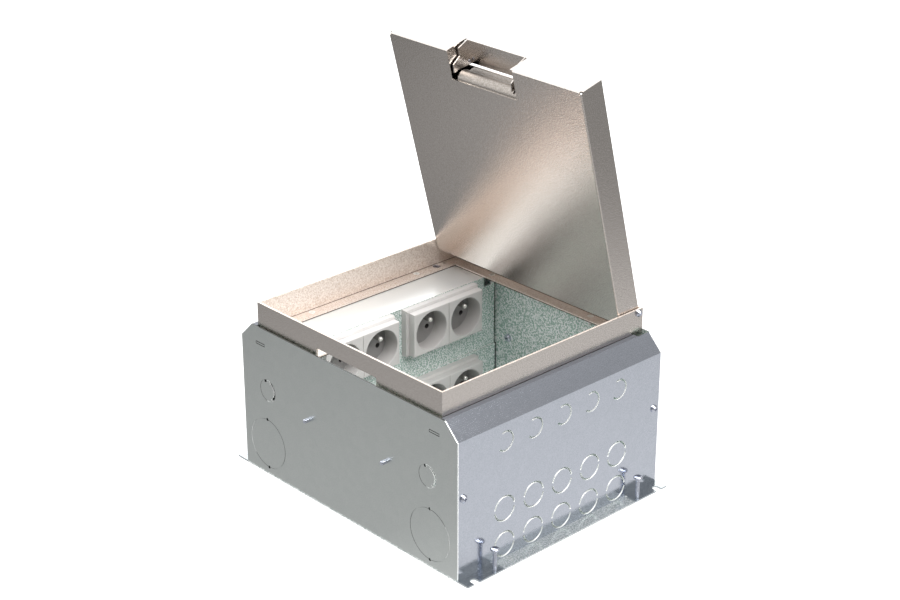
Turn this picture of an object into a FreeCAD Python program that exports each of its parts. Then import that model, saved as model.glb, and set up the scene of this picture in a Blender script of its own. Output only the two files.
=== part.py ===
import FreeCAD, Part
import math
import os
import Sketcher
from FreeCAD import Placement, Rotation, Vector

# Floor socket box: a galvanised steel box let into a raised floor, with a
# height-adjustable stainless frame, a hinged tray lid with a cable outlet and
# two rows of double socket outlets.
# Frame of the part: X to the right, Y to the back, Z up, origin at the centre
# of the base underside. All lengths are millimetres.

document = FreeCAD.newDocument("floor_socket_box")


# Driving dimensions, one cell each
driving_sizes = [
    # galvanised box
    ("box_width", 300.0),
    ("box_depth", 262.0),
    ("box_height", 154.0),
    ("box_sheet", 1.5),
    ("chamfer", 16.0),
    ("foot_reach", 14.0),
    ("foot_notch_width", 7.0),
    ("foot_notch_reach", 7.6),
    ("foot_notch_inset", 11.0),
    ("foot_slit_inset", 44.0),
    ("foot_slit_width", 0.8),
    ("relief_hole", 3.0),
    ("return_depth", 15.0),
    ("tab_gap", 1.0),
    # knockouts and holes in the box sheets
    ("wall_knockout", 26.0),
    ("top_knockout", 20.6),
    ("knockout_slot", 1.8),
    ("knockout_tie", 1.6),
    ("knockout_pitch", 36.5),
    ("low_row_height", 15.5),
    ("mid_row_height", 52.0),
    ("top_row_height", 119.6),
    ("large_knockout", 52.0),
    ("large_knockout_inset", 35.2),
    ("large_knockout_height", 33.5),
    ("score_width", 0.5),
    ("score_depth", 0.4),
    ("pry_hole", 3.0),
    ("small_knockout", 22.8),
    ("small_knockout_inset", 37.8),
    ("small_knockout_height", 91.2),
    ("small_knockout_slot", 2.6),
    ("rail_drop", 16.5),
    ("rail_slot_length", 13.0),
    ("rail_slot_width", 3.0),
    ("wall_screw_inset", 6.2),
    ("wall_screw_height", 81.4),
    ("wall_screw", 4.0),
    ("wall_screw_head", 7.8),
    ("stud_left_x", -51.5),
    ("stud_right_x", 57.0),
    ("stud_height", 83.6),
    ("stud_diameter", 4.0),
    ("stud_length", 6.0),
    ("stud_head", 8.0),
    # levelling screws
    ("level_screw_reach", 9.5),
    ("level_screw_inset", 37.0),
    ("level_diameter", 4.0),
    ("level_head", 8.5),
    ("level_height", 24.5),
    # height adjusters
    ("adjuster_inset", 6.5),
    ("adjuster_end_inset", 32.5),
    ("adjuster_diameter", 6.0),
    ("adjuster_collar", 11.0),
    ("adjuster_boss", 8.5),
    ("adjuster_length", 40.0),
    ("collar_height", 2.2),
    ("nut_height", 8.0),
    ("nut_across", 10.0),
    ("rail_inner_width", 9.0),
    ("rail_outer_width", 11.0),
    ("rail_leg", 15.0),
    # stainless frame
    ("frame_side_inset", 22.5),
    ("frame_end_inset", 3.5),
    ("frame_sheet", 2.0),
    ("frame_drop", 29.0),
    ("flange_width", 15.0),
    ("outlet_half", 41.5),
    ("outlet_rise", 11.5),
    ("flange_screw_inset", 6.5),
    ("flange_screw_mid", 67.5),
    ("flange_screw", 4.0),
    ("flange_screw_length", 9.2),
    ("countersink", 1.3),
    ("flange_nut_across", 7.0),
    ("flange_nut_height", 3.2),
    ("small_hole_inset", 22.7),
    ("small_hole", 2.6),
    # lid
    ("hinge_inset", 4.1),
    ("hinge_drop", 3.8),
    ("hinge_pin", 3.6),
    ("hinge_head", 7.0),
    ("lid_open_angle", 75.5),
    ("lid_sheet", 1.5),
    ("lid_side_gap", 0.9),
    ("lid_front_gap", 1.0),
    ("lid_depth", 26.3),
    ("lid_sink", 0.3),
    ("lid_heel", 1.5),
    ("lid_bend", 1.4),
    ("corner_relief", 2.6),
    ("outlet_centre", -4.4),
    ("outlet_depth", 30.0),
    ("wall_cut_half", 40.3),
    ("plate_cut_left", 40.1),
    ("plate_cut_right", 44.4),
    # flap over the outlet
    ("flap_side_gap", 2.1),
    ("flap_sheet", 1.2),
    ("flap_sink", 0.9),
    ("flap_depth", 24.4),
    ("pivot_inset", 3.4),
    ("pivot_drop", 3.6),
    ("pivot_diameter", 3.0),
    ("flap_rear_gap", 2.9),
    ("trough_bend", 8.2),
    ("trough_rise", 15.0),
    ("cover_reach", 27.0),
    ("cover_side_gap", 1.4),
    # socket carriers
    ("panel_x", -71.0),
    ("panel_sheet", 1.2),
    ("lower_panel_drop", 76.5),
    ("upper_panel_drop", 82.0),
    ("shelf_overlap", 1.1),
    ("panel_notch_drop", 10.2),
    ("panel_foot", 22.0),
    ("cutout_length", 86.0),
    ("cutout_height", 40.0),
    ("upper_row_drop", 25.2),
    ("lower_row_drop", 103.7),
    # double socket outlets
    ("socket_length", 91.0),
    ("socket_height", 45.0),
    ("socket_proud", 16.0),
    ("socket_back_depth", 24.0),
    ("bezel_length", 96.0),
    ("bezel_height", 49.0),
    ("bezel_proud", 8.0),
    ("well_diameter", 40.0),
    ("well_depth", 18.0),
    ("well_pitch", 46.0),
    ("contact_hole", 5.0),
    ("contact_half_pitch", 9.5),
    ("contact_drop", 4.5),
    ("earth_pin", 4.8),
    ("earth_pin_rise", 10.5),
    ("module_seam", 0.6),
    # clearances
    ("running_gap", 0.05),
    ("slide_gap", 0.3),
]


class Size:
    # A length that carries the sheet formula it comes from

    def __init__(self, value, text):
        self.value = float(value)
        self.text = text

    def __add__(self, other):
        other = as_size(other)
        return Size(self.value + other.value, f"({self.text} + {other.text})")

    def __radd__(self, other):
        return as_size(other) + self

    def __sub__(self, other):
        other = as_size(other)
        return Size(self.value - other.value, f"({self.text} - {other.text})")

    def __rsub__(self, other):
        return as_size(other) - self

    def __mul__(self, other):
        other = as_size(other)
        return Size(self.value * other.value, f"({self.text} * {other.text})")

    def __rmul__(self, other):
        return as_size(other) * self

    def __truediv__(self, other):
        other = as_size(other)
        return Size(self.value / other.value, f"({self.text} / {other.text})")

    def __neg__(self):
        return Size(-self.value, f"(0 - {self.text})")


def as_size(number):
    return number if isinstance(number, Size) else Size(number, repr(float(number)))


def val(number):
    return as_size(number).value


class Dims:
    pass


sheet = document.addObject("Spreadsheet::Sheet", "Sizes")
dims = Dims()
for row, (name, number) in enumerate(driving_sizes, start=1):
    sheet.set(f"A{row}", name)
    sheet.set(f"B{row}", str(number))
    sheet.setAlias(f"B{row}", name)
    setattr(dims, name, Size(number, f"Sizes.{name}"))
document.recompute()

sub_parts = []


def new_body(label):
    body = document.addObject("PartDesign::Body", "Body_" + label)
    body.Label = label
    sub_parts.append(body)
    return body


def sketch_on(body, plane, level=0.0):
    # plane is XY, XZ or YZ; level is the world coordinate along its normal axis
    sketch = body.newObject("Sketcher::SketchObject", body.Label + "_sketch")
    for feature in body.Origin.OriginFeatures:
        if feature.Role == plane + "_Plane":
            sketch.AttachmentSupport = (feature, "")
    sketch.MapMode = "FlatFace"
    along = -as_size(level) if plane == "XZ" else as_size(level)
    sketch.AttachmentOffset = Placement(Vector(0, 0, along.value), Rotation())
    sketch.setExpression("AttachmentOffset.Base.z", along.text)
    return sketch


def bind(sketch, kind, geometry, point, number):
    # distance of a point from the sketch origin, tied to its formula
    number = as_size(number)
    index = sketch.addConstraint(
        Sketcher.Constraint(kind, -1, 1, geometry, point, number.value))
    if "Sizes." in number.text:
        sketch.setExpression(f"Constraints[{index}]", number.text)


def bind_radius(sketch, geometry, number):
    number = as_size(number)
    index = sketch.addConstraint(Sketcher.Constraint("Radius", geometry, number.value))
    if "Sizes." in number.text:
        sketch.setExpression(f"Constraints[{index}]", number.text)


def polygon(sketch, points):
    first = sketch.GeometryCount
    count = len(points)
    for index in range(count):
        x1, y1 = points[index]
        x2, y2 = points[(index + 1) % count]
        sketch.addGeometry(
            Part.LineSegment(Vector(val(x1), val(y1), 0), Vector(val(x2), val(y2), 0)),
            False)
    for index in range(count):
        following = first + (index + 1) % count
        sketch.addConstraint(
            Sketcher.Constraint("Coincident", first + index, 2, following, 1))
        bind(sketch, "DistanceX", first + index, 1, points[index][0])
        bind(sketch, "DistanceY", first + index, 1, points[index][1])


def curved_outline(sketch, points):
    # closed outline of (x, y, radius, side); a radius bends the stretch that
    # follows the point, with its centre to the left (1) or the right (-1)
    first = sketch.GeometryCount
    count = len(points)
    ends = []
    for index in range(count):
        x1, y1, radius, side = points[index]
        x2, y2 = points[(index + 1) % count][:2]
        start = Vector(val(x1), val(y1), 0)
        finish = Vector(val(x2), val(y2), 0)
        if side == 0:
            sketch.addGeometry(Part.LineSegment(start, finish), False)
            ends.append((1, 2))
            continue
        chord = finish - start
        left = Vector(-chord.y, chord.x, 0).normalize()
        reach = math.sqrt(val(radius) ** 2 - (chord.Length / 2) ** 2)
        centre = start + chord * 0.5 + left * reach * side
        bend = Part.Circle(centre, Vector(0, 0, 1), val(radius))
        turn = [math.atan2((end - centre).y, (end - centre).x) for end in (start, finish)]
        if side < 0:
            turn.reverse()
        if turn[1] < turn[0]:
            turn[1] += 2 * math.pi
        sketch.addGeometry(Part.ArcOfCircle(bend, turn[0], turn[1]), False)
        ends.append((1, 2) if side > 0 else (2, 1))
        bind_radius(sketch, first + index, radius)
    for index in range(count):
        follower = (index + 1) % count
        sketch.addConstraint(Sketcher.Constraint(
            "Coincident", first + index, ends[index][1],
            first + follower, ends[follower][0]))
        bind(sketch, "DistanceX", first + index, ends[index][0], points[index][0])
        bind(sketch, "DistanceY", first + index, ends[index][0], points[index][1])


def rectangle(sketch, left, right, low, high):
    polygon(sketch, [(left, low), (right, low), (right, high), (left, high)])


def hexagon_corners(across):
    reach = as_size(across) / 2 / round(math.cos(math.radians(30)), 9)
    turns = [math.radians(60 * k) for k in range(6)]
    return [(reach * round(math.cos(a), 9), reach * round(math.sin(a), 9)) for a in turns]


def circle(sketch, x, y, diameter):
    radius = as_size(diameter) / 2
    geometry = sketch.addGeometry(
        Part.Circle(Vector(val(x), val(y), 0), Vector(0, 0, 1), radius.value), False)
    bind(sketch, "DistanceX", geometry, 3, x)
    bind(sketch, "DistanceY", geometry, 3, y)
    bind_radius(sketch, geometry, radius)


def arc_slot(sketch, x, y, diameter, width, start, end):
    # closed slot along a circle, from start to end in degrees, anticlockwise
    outer = as_size(diameter) / 2
    inner = outer - width
    centre = Vector(val(x), val(y), 0)
    first = sketch.GeometryCount
    angles = (math.radians(start), math.radians(end))
    for radius in (outer, inner):
        full = Part.Circle(centre, Vector(0, 0, 1), radius.value)
        sketch.addGeometry(Part.ArcOfCircle(full, angles[0], angles[1]), False)
    ends = []
    for angle in angles:
        direction = Vector(math.cos(angle), math.sin(angle), 0)
        ends.append(sketch.addGeometry(
            Part.LineSegment(centre + direction * outer.value,
                             centre + direction * inner.value), False))
    for place, line in enumerate(ends, start=1):
        sketch.addConstraint(Sketcher.Constraint("Coincident", line, 1, first, place))
        sketch.addConstraint(Sketcher.Constraint("Coincident", line, 2, first + 1, place))
        angle = angles[place - 1]
        ray = Vector(math.cos(angle), math.sin(angle), 0)
        bind(sketch, "DistanceX", first, place, as_size(x) + outer * round(ray.x, 9))
        bind(sketch, "DistanceX", first + 1, place, as_size(x) + inner * round(ray.x, 9))
    for index, radius in ((first, outer), (first + 1, inner)):
        bind(sketch, "DistanceX", index, 3, x)
        bind(sketch, "DistanceY", index, 3, y)
        bind_radius(sketch, index, radius)


def half_ring(sketch, x, y, diameter, width, tie, side):
    # half of a knockout's ring slot above (side 1) or below (side -1) its ties
    outer = as_size(diameter) / 2
    inner = outer - width
    centre = Vector(val(x), val(y), 0)
    first = sketch.GeometryCount
    rise = as_size(y) + as_size(tie) * side
    for radius in (outer, inner):
        lean = math.asin(val(tie) / radius.value)
        begin, finish = (lean, math.pi - lean)
        if side < 0:
            begin, finish = (math.pi + lean, 2 * math.pi - lean)
        full = Part.Circle(centre, Vector(0, 0, 1), radius.value)
        sketch.addGeometry(Part.ArcOfCircle(full, begin, finish), False)
    for index, radius in ((first, outer), (first + 1, inner)):
        bind(sketch, "DistanceX", index, 3, x)
        bind(sketch, "DistanceY", index, 3, y)
        bind_radius(sketch, index, radius)
        for end in (1, 2):
            bind(sketch, "DistanceY", index, end, rise)
    for end in (1, 2):
        start_point = sketch.getPoint(first, end)
        end_point = sketch.getPoint(first + 1, end)
        line = sketch.addGeometry(Part.LineSegment(start_point, end_point), False)
        sketch.addConstraint(Sketcher.Constraint("Coincident", line, 1, first, end))
        sketch.addConstraint(Sketcher.Constraint("Coincident", line, 2, first + 1, end))


def add_feature(body, kind, sketch, length, reverse):
    feature = body.newObject("PartDesign::" + kind, body.Label + "_" + kind.lower())
    feature.Profile = sketch
    length = as_size(length)
    feature.Length = length.value
    if "Sizes." in length.text:
        feature.setExpression("Length", length.text)
    feature.Reversed = reverse
    sketch.Visibility = False
    document.recompute()
    return feature


def pad(body, sketch, length, reverse=False):
    # grows along the sketch normal: +Z, -Y or +X, or back when reversed
    return add_feature(body, "Pad", sketch, length, reverse)


def pocket(body, sketch, length, reverse=False):
    # cuts against the sketch normal: -Z, +Y or -X, or forward when reversed
    before = body.Shape.Volume
    feature = add_feature(body, "Pocket", sketch, length, reverse)
    if body.Shape.Volume > before - 1e-3:
        raise RuntimeError(feature.Label + " removes nothing")
    return feature


def row_pattern(body, sketch, original, axis, length, count):
    pattern = body.newObject("PartDesign::LinearPattern", body.Label + "_row")
    pattern.Originals = [original]
    pattern.Direction = (sketch, [axis])
    length = as_size(length)
    pattern.Length = length.value
    pattern.setExpression("Length", length.text)
    pattern.Occurrences = count
    body.Tip = pattern
    document.recompute()
    return pattern


def pick_edges(shape, test):
    names = []
    for index, edge in enumerate(shape.Edges, start=1):
        if test(edge):
            names.append(f"Edge{index}")
    return names


def round_edges(body, radius, test, kind="Fillet"):
    base = body.Tip
    names = pick_edges(base.Shape, test)
    if not names:
        raise RuntimeError("no edges to round on " + body.Label)
    feature = body.newObject("PartDesign::" + kind, body.Label + "_" + kind.lower())
    feature.Base = (base, names)
    radius = as_size(radius)
    field = "Radius" if kind == "Fillet" else "Size"
    setattr(feature, field, radius.value)
    if "Sizes." in radius.text:
        feature.setExpression(field, radius.text)
    document.recompute()
    return feature


def revolve(body, profile_points):
    # turns a half profile, given as (radius, height) pairs, about the Z axis
    sketch = sketch_on(body, "XZ")
    polygon(sketch, profile_points)
    feature = body.newObject("PartDesign::Revolution", body.Label + "_revolution")
    feature.Profile = sketch
    feature.ReferenceAxis = (sketch, ["V_Axis"])
    feature.Angle = 360
    sketch.Visibility = False
    document.recompute()
    return feature


def slot_recess(body, level, half_length, width, depth, reverse=False):
    # straight driver slot, sunk from a screw head's end face
    slot = sketch_on(body, "XY", level)
    width = as_size(width)
    rectangle(slot, -half_length, half_length, -width / 2, width / 2)
    pocket(body, slot, depth, reverse)


def cross_recess(body, level, half_length, width, depth):
    # cross-shaped driver recess, drawn as one closed outline of twelve corners
    half = as_size(width) / 2
    quarter = [(half_length, -half), (half_length, half), (half, half)]
    corners = []
    for turn in range(4):
        for x, y in quarter:
            for _ in range(turn):
                x, y = -as_size(y), x
            corners.append((x, y))
    recess = sketch_on(body, "XY", level)
    polygon(recess, corners)
    pocket(body, recess, depth)


def mirror_of(source, label, normal):
    copy = document.addObject("Part::Mirroring", "Mirror_" + label)
    copy.Source = source
    copy.Normal = normal
    copy.Label = label
    sub_parts.append(copy)
    document.recompute()
    return copy


def group_of(label, source, places):
    # the same small piece set at several places, as one group of solids
    group = document.addObject("Part::Feature", "Group_" + label)
    copies = []
    for place in places:
        copies.append(source.Shape.copy())
        copies[-1].Placement = place.multiply(copies[-1].Placement)
    group.Shape = Part.makeCompound(copies)
    group.Label = label
    sub_parts.append(group)
    return group


def template(label):
    # a body that only serves as the source of copies
    body = document.addObject("PartDesign::Body", "Template_" + label)
    body.Label = label
    return body


# Common levels and edges of the box
half_width = dims.box_width / 2
half_depth = dims.box_depth / 2
sheet_gauge = dims.box_sheet
fold_height = dims.box_height - dims.chamfer
top_edge = half_width - dims.chamfer
inner_depth = half_depth - sheet_gauge
bend_share = round(math.tan(math.radians(22.5)), 6)
slant_share = round(math.sin(math.radians(45)), 6)
level_screw_x = half_width + dims.level_screw_reach
level_screw_y = half_depth - dims.level_screw_inset
foot_notch_y = half_depth - dims.foot_notch_inset
foot_slit_y = half_depth - dims.foot_slit_inset
large_knockout_x = half_width - dims.large_knockout_inset
small_knockout_x = half_width - dims.small_knockout_inset
wall_screw_y = inner_depth - dims.wall_screw_inset

# The frame rests on the adjusters, these on their nuts and the nuts on the rails
rail_slot_height = dims.box_height - dims.rail_drop
rail_top = rail_slot_height + sheet_gauge / 2
collar_low = rail_top + dims.nut_height
flange_low = collar_low + dims.collar_height + dims.running_gap
flange_top = flange_low + dims.frame_sheet
frame_top = flange_low + dims.frame_drop
frame_side = half_width - dims.frame_side_inset
frame_end = half_depth - dims.frame_end_inset
inner_side = frame_side - dims.frame_sheet
inner_end = frame_end - dims.frame_sheet
adjuster_x = frame_side - dims.adjuster_inset
adjuster_y = frame_end - dims.adjuster_end_inset
small_hole_y = frame_end - dims.small_hole_inset
front_share = round(5 / 33, 6)
rear_share = round(13.8 / 33, 6)

# The lid hangs in the frame on its hinge pins
hinge_y = inner_end - dims.hinge_inset
hinge_height = frame_top - dims.hinge_drop
lid_half_width = inner_side - dims.lid_side_gap
lid_front = inner_end - dims.lid_front_gap
lid_top = frame_top - dims.lid_sink

# Base plate, with the feet that the fixing notches and levelling screws use
foot_edge = half_width + dims.foot_reach
base = new_body("base_plate")
outline = sketch_on(base, "XY")
rectangle(outline, -foot_edge, foot_edge, -half_depth, half_depth)
pad(base, outline, sheet_gauge)
cuts = sketch_on(base, "XY", sheet_gauge)
slit_half = dims.foot_slit_width / 2
notch_half = dims.foot_notch_width / 2
for side in (-1, 1):
    for end in (-1, 1):
        slit_y = foot_slit_y * end
        wall_x = half_width * side
        rim_x = (foot_edge + 1) * side
        rectangle(cuts, wall_x + side, rim_x, slit_y - slit_half, slit_y + slit_half)
        circle(cuts, level_screw_x * side, level_screw_y * end,
               dims.level_diameter + dims.running_gap * 2)
pocket(base, cuts, sheet_gauge)
notches = sketch_on(base, "XY", sheet_gauge)
relief = sketch_on(base, "XY", sheet_gauge)
for side in (-1, 1):
    for end in (-1, 1):
        notch_y = foot_notch_y * end
        notch_x = (foot_edge - dims.foot_notch_reach + notch_half) * side
        rectangle(notches, notch_x, (foot_edge + 1) * side,
                  notch_y - notch_half, notch_y + notch_half)
        circle(relief, notch_x, notch_y, dims.foot_notch_width)
        circle(relief, (half_width + dims.relief_hole / 2) * side,
               foot_slit_y * end, dims.relief_hole)
pocket(base, notches, sheet_gauge)
pocket(base, relief, sheet_gauge)

# Side wall with the slanted shoulder along its top
right_wall = new_body("right_side_wall")
profile = sketch_on(right_wall, "XZ", inner_depth)
inner_x = half_width - sheet_gauge
slant = sheet_gauge * slant_share
polygon(profile, [
    (half_width, sheet_gauge),
    (half_width, fold_height),
    (top_edge, dims.box_height),
    (top_edge - slant, dims.box_height - slant),
    (inner_x, fold_height - sheet_gauge * bend_share),
    (inner_x, sheet_gauge),
])
pad(right_wall, profile, inner_depth * 2)
rings = sketch_on(right_wall, "YZ", half_width)
first_column = -dims.knockout_pitch * 2
for row_height in (dims.low_row_height, dims.mid_row_height):
    for side in (1, -1):
        half_ring(rings, first_column, row_height, dims.wall_knockout,
                  dims.knockout_slot, dims.knockout_tie, side)
arc_slot(rings, first_column, dims.top_row_height, dims.top_knockout,
         dims.knockout_slot, -137, 115)
first_knockouts = pocket(right_wall, rings, sheet_gauge)
row_pattern(right_wall, rings, first_knockouts, "H_Axis", dims.knockout_pitch * 4, 5)
wall_holes = sketch_on(right_wall, "YZ", half_width)
for end in (-1, 1):
    circle(wall_holes, wall_screw_y * end, dims.wall_screw_height, dims.wall_screw)
pocket(right_wall, wall_holes, sheet_gauge)
mirror_of(right_wall, "left_side_wall", Vector(1, 0, 0))

# Front plate: covers the wall ends, with returns and shoulder tabs bent inward
front = new_body("front_plate")
outline = sketch_on(front, "XZ", -inner_depth)
polygon(outline, [
    (-half_width, sheet_gauge),
    (half_width, sheet_gauge),
    (half_width, fold_height),
    (top_edge, dims.box_height),
    (-top_edge, dims.box_height),
    (-half_width, fold_height),
])
pad(front, outline, sheet_gauge)
returns = sketch_on(front, "XZ", -inner_depth)
return_top = fold_height - dims.tab_gap * 2
shoulder_low = fold_height - sheet_gauge * bend_share + dims.tab_gap
for side in (-1, 1):
    outer = inner_x
    inner = outer - sheet_gauge
    polygon(returns, [
        (outer * side, sheet_gauge * 2),
        (outer * side, return_top),
        (inner * side, return_top),
        (inner * side, sheet_gauge * 2),
    ])
    start_x = outer - dims.tab_gap
    end_x = top_edge + dims.tab_gap - slant
    rise = start_x - end_x
    polygon(returns, [
        (start_x * side, shoulder_low),
        (end_x * side, shoulder_low + rise),
        ((end_x - slant) * side, shoulder_low + rise - slant),
        ((start_x - slant) * side, shoulder_low - slant),
    ])
pad(front, returns, dims.return_depth, reverse=True)
circles = sketch_on(front, "XZ", -half_depth)
for side in (-1, 1):
    for score, x, height in (
            (dims.large_knockout, large_knockout_x, dims.large_knockout_height),
            (dims.small_knockout, small_knockout_x, dims.small_knockout_height)):
        circle(circles, x * side, height, score)
        circle(circles, x * side, height, score - dims.score_width * 2)
pocket(front, circles, dims.score_depth)
openings = sketch_on(front, "XZ", -half_depth)
for side in (-1, 1):
    for end in (-1, 1):
        pry_height = dims.large_knockout_height + dims.large_knockout * end / 2
        circle(openings, large_knockout_x * side, pry_height, dims.pry_hole)
    for start, end in ((-55, 72), (98, 116)):
        arc_slot(openings, small_knockout_x * side, dims.small_knockout_height,
                 dims.small_knockout, dims.small_knockout_slot, start, end)
    slot_half = dims.rail_slot_length / 2
    rectangle(openings,
              adjuster_x * side - slot_half, adjuster_x * side + slot_half,
              rail_slot_height - dims.rail_slot_width / 2,
              rail_slot_height + dims.rail_slot_width / 2)
for stud_x in (dims.stud_left_x, dims.stud_right_x):
    circle(openings, stud_x, dims.stud_height, dims.stud_diameter)
pocket(front, openings, sheet_gauge)
return_holes = sketch_on(front, "YZ", half_width)
circle(return_holes, -wall_screw_y, dims.wall_screw_height, dims.wall_screw)
pocket(front, return_holes, half_width * 2)
round_edges(front, sheet_gauge * 0.8, lambda edge: (
    abs(edge.BoundBox.YMin + val(half_depth)) < 1e-4
    and abs(edge.BoundBox.YMax + val(half_depth)) < 1e-4
    and edge.Curve.TypeId == "Part::GeomLine"
    and abs(edge.CenterOfMass.x) > val(top_edge)
    and (edge.Length > val(fold_height) * 0.9
         or abs(edge.Length - val(dims.chamfer) / slant_share) < 1e-3)))
mirror_of(front, "back_plate", Vector(0, 1, 0))

# Height rails that carry the frame, their lugs held in the plate slots
rail = new_body("right_height_rail")
strip = sketch_on(rail, "XY", rail_top)
rail_half = dims.rail_slot_length / 2
lug_half = rail_half - 0.5
rail_inner = adjuster_x - dims.rail_inner_width
rail_outer = adjuster_x + dims.rail_outer_width
polygon(strip, [
    (rail_inner, -inner_depth),
    (adjuster_x - lug_half, -inner_depth),
    (adjuster_x - lug_half, -half_depth),
    (adjuster_x + lug_half, -half_depth),
    (adjuster_x + lug_half, -inner_depth),
    (rail_outer, -inner_depth),
    (rail_outer, inner_depth),
    (adjuster_x + lug_half, inner_depth),
    (adjuster_x + lug_half, half_depth),
    (adjuster_x - lug_half, half_depth),
    (adjuster_x - lug_half, inner_depth),
    (rail_inner, inner_depth),
])
pad(rail, strip, sheet_gauge, reverse=True)
leg = sketch_on(rail, "XZ", inner_depth)
rectangle(leg, rail_outer - sheet_gauge, rail_outer,
          rail_top - dims.rail_leg, rail_top - sheet_gauge)
pad(rail, leg, inner_depth * 2)
rail_holes = sketch_on(rail, "XY", rail_top)
for end in (-1, 1):
    circle(rail_holes, adjuster_x, adjuster_y * end,
           dims.adjuster_diameter + 1)
pocket(rail, rail_holes, sheet_gauge)
mirror_of(rail, "left_height_rail", Vector(1, 0, 0))

# Long nuts welded on the rails, turned by the height adjusters
nut_form = template("height_nut_form")
hexagon = sketch_on(nut_form, "XY", rail_top)
polygon(hexagon, hexagon_corners(dims.nut_across))
pad(nut_form, hexagon, dims.nut_height)
nut_bore = sketch_on(nut_form, "XY", rail_top + dims.nut_height)
circle(nut_bore, 0, 0, dims.adjuster_diameter + dims.running_gap * 2)
pocket(nut_form, nut_bore, dims.nut_height)
adjuster_places = {}
for side_name, side in (("left", -1), ("right", 1)):
    for end_name, end in (("front", -1), ("rear", 1)):
        adjuster_places[f"{side_name}_{end_name}"] = Placement(
            Vector(val(adjuster_x) * side, val(adjuster_y) * end, 0),
            Rotation())
group_of("height_nuts", nut_form, adjuster_places.values())

# Frame: upright wall with a flange turned inward at its foot
frame = new_body("frame")
walls = sketch_on(frame, "XY", flange_low)
rectangle(walls, -frame_side, frame_side, -frame_end, frame_end)
rectangle(walls, -inner_side, inner_side, -inner_end, inner_end)
pad(frame, walls, dims.frame_drop)
flange = sketch_on(frame, "XY", flange_low)
rectangle(flange, -inner_side, inner_side, -inner_end, inner_end)
opening_side = frame_side - dims.flange_width
opening_end = frame_end - dims.flange_width
rectangle(flange, -opening_side, opening_side, -opening_end, opening_end)
pad(frame, flange, dims.frame_sheet)
outlet = sketch_on(frame, "XZ", -frame_end)
rectangle(outlet, -dims.outlet_half, dims.outlet_half,
          flange_low, flange_low + dims.outlet_rise)
pocket(frame, outlet, dims.flange_width)
flange_holes = sketch_on(frame, "XY", flange_top)
flange_spots = []
side_screw = frame_side - dims.flange_screw_inset
end_screw = frame_end - dims.flange_screw_inset
for side in (-1, 1):
    for end in (-1, 1):
        flange_spots.append((side_screw * side, dims.flange_screw_mid * end))
        flange_spots.append((dims.flange_screw_mid * side, end_screw * end))
        circle(flange_holes, adjuster_x * side, adjuster_y * end,
               dims.adjuster_boss + dims.running_gap * 2)
        circle(flange_holes, adjuster_x * side, small_hole_y * end, dims.small_hole)
for spot_x, spot_y in flange_spots:
    circle(flange_holes, spot_x, spot_y, dims.flange_screw)
pocket(frame, flange_holes, dims.frame_sheet)
pin_holes = sketch_on(frame, "YZ", frame_side)
circle(pin_holes, hinge_y, hinge_height, dims.hinge_pin)
pocket(frame, pin_holes, frame_side * 2)
head_depth = dims.countersink
round_edges(frame, head_depth, lambda edge: (
    edge.Curve.TypeId == "Part::GeomCircle"
    and abs(edge.Curve.Radius - val(dims.flange_screw) / 2) < 1e-4
    and abs(edge.Curve.Axis.z) > 0.9
    and abs(edge.CenterOfMass.z - val(flange_top)) < 1e-4), kind="Chamfer")

# Countersunk screws of the flange, with their nuts below it
screw_form = template("flange_screw_form")
screw_radius = dims.flange_screw / 2
revolve(screw_form, [
    (0, flange_top - dims.flange_screw_length),
    (screw_radius, flange_top - dims.flange_screw_length),
    (screw_radius, flange_top - head_depth),
    (screw_radius + head_depth, flange_top),
    (0, flange_top),
])
cross_recess(screw_form, flange_top, screw_radius * 0.85, dims.flange_screw / 6, 0.9)
flange_places = [
    Placement(Vector(val(spot_x), val(spot_y), 0), Rotation(Vector(0, 0, 1), 35 * number))
    for number, (spot_x, spot_y) in enumerate(flange_spots)
]
group_of("flange_screws", screw_form, flange_places)
nut_shape = template("flange_nut_form")
hexagon = sketch_on(nut_shape, "XY", flange_low)
polygon(hexagon, hexagon_corners(dims.flange_nut_across))
circle(hexagon, 0, 0, dims.flange_screw)
pad(nut_shape, hexagon, dims.flange_nut_height, reverse=True)
nut_places = []
for spot_x, spot_y in flange_spots:
    on_shelf = val(spot_x) < val(dims.panel_x) - val(dims.flange_nut_across)
    drop = val(dims.panel_sheet) if on_shelf else 0.0
    nut_places.append(Placement(Vector(val(spot_x), val(spot_y), -drop), Rotation()))
group_of("flange_nuts", nut_shape, nut_places)

# Height adjusters: slotted boss in the flange, collar below it, thread in the nut
boss_top = flange_top - dims.frame_sheet * 0.3
adjuster_form = template("adjuster_form")
thread = dims.adjuster_diameter / 2
tip_bevel = thread / 4
collar_radius = dims.adjuster_collar / 2
boss_radius = dims.adjuster_boss / 2
collar_top = flange_low - dims.running_gap
adjuster_low = flange_low - dims.adjuster_length
revolve(adjuster_form, [
    (0, adjuster_low),
    (thread - tip_bevel, adjuster_low),
    (thread, adjuster_low + tip_bevel),
    (thread, collar_low),
    (collar_radius, collar_low),
    (collar_radius, collar_top),
    (boss_radius, collar_top),
    (boss_radius, boss_top),
    (0, boss_top),
])
slot_recess(adjuster_form, boss_top, boss_radius * 0.8, dims.adjuster_boss / 7, 1.4)
for place_name, place in adjuster_places.items():
    group_of("height_adjuster_" + place_name, adjuster_form, [place])

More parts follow.
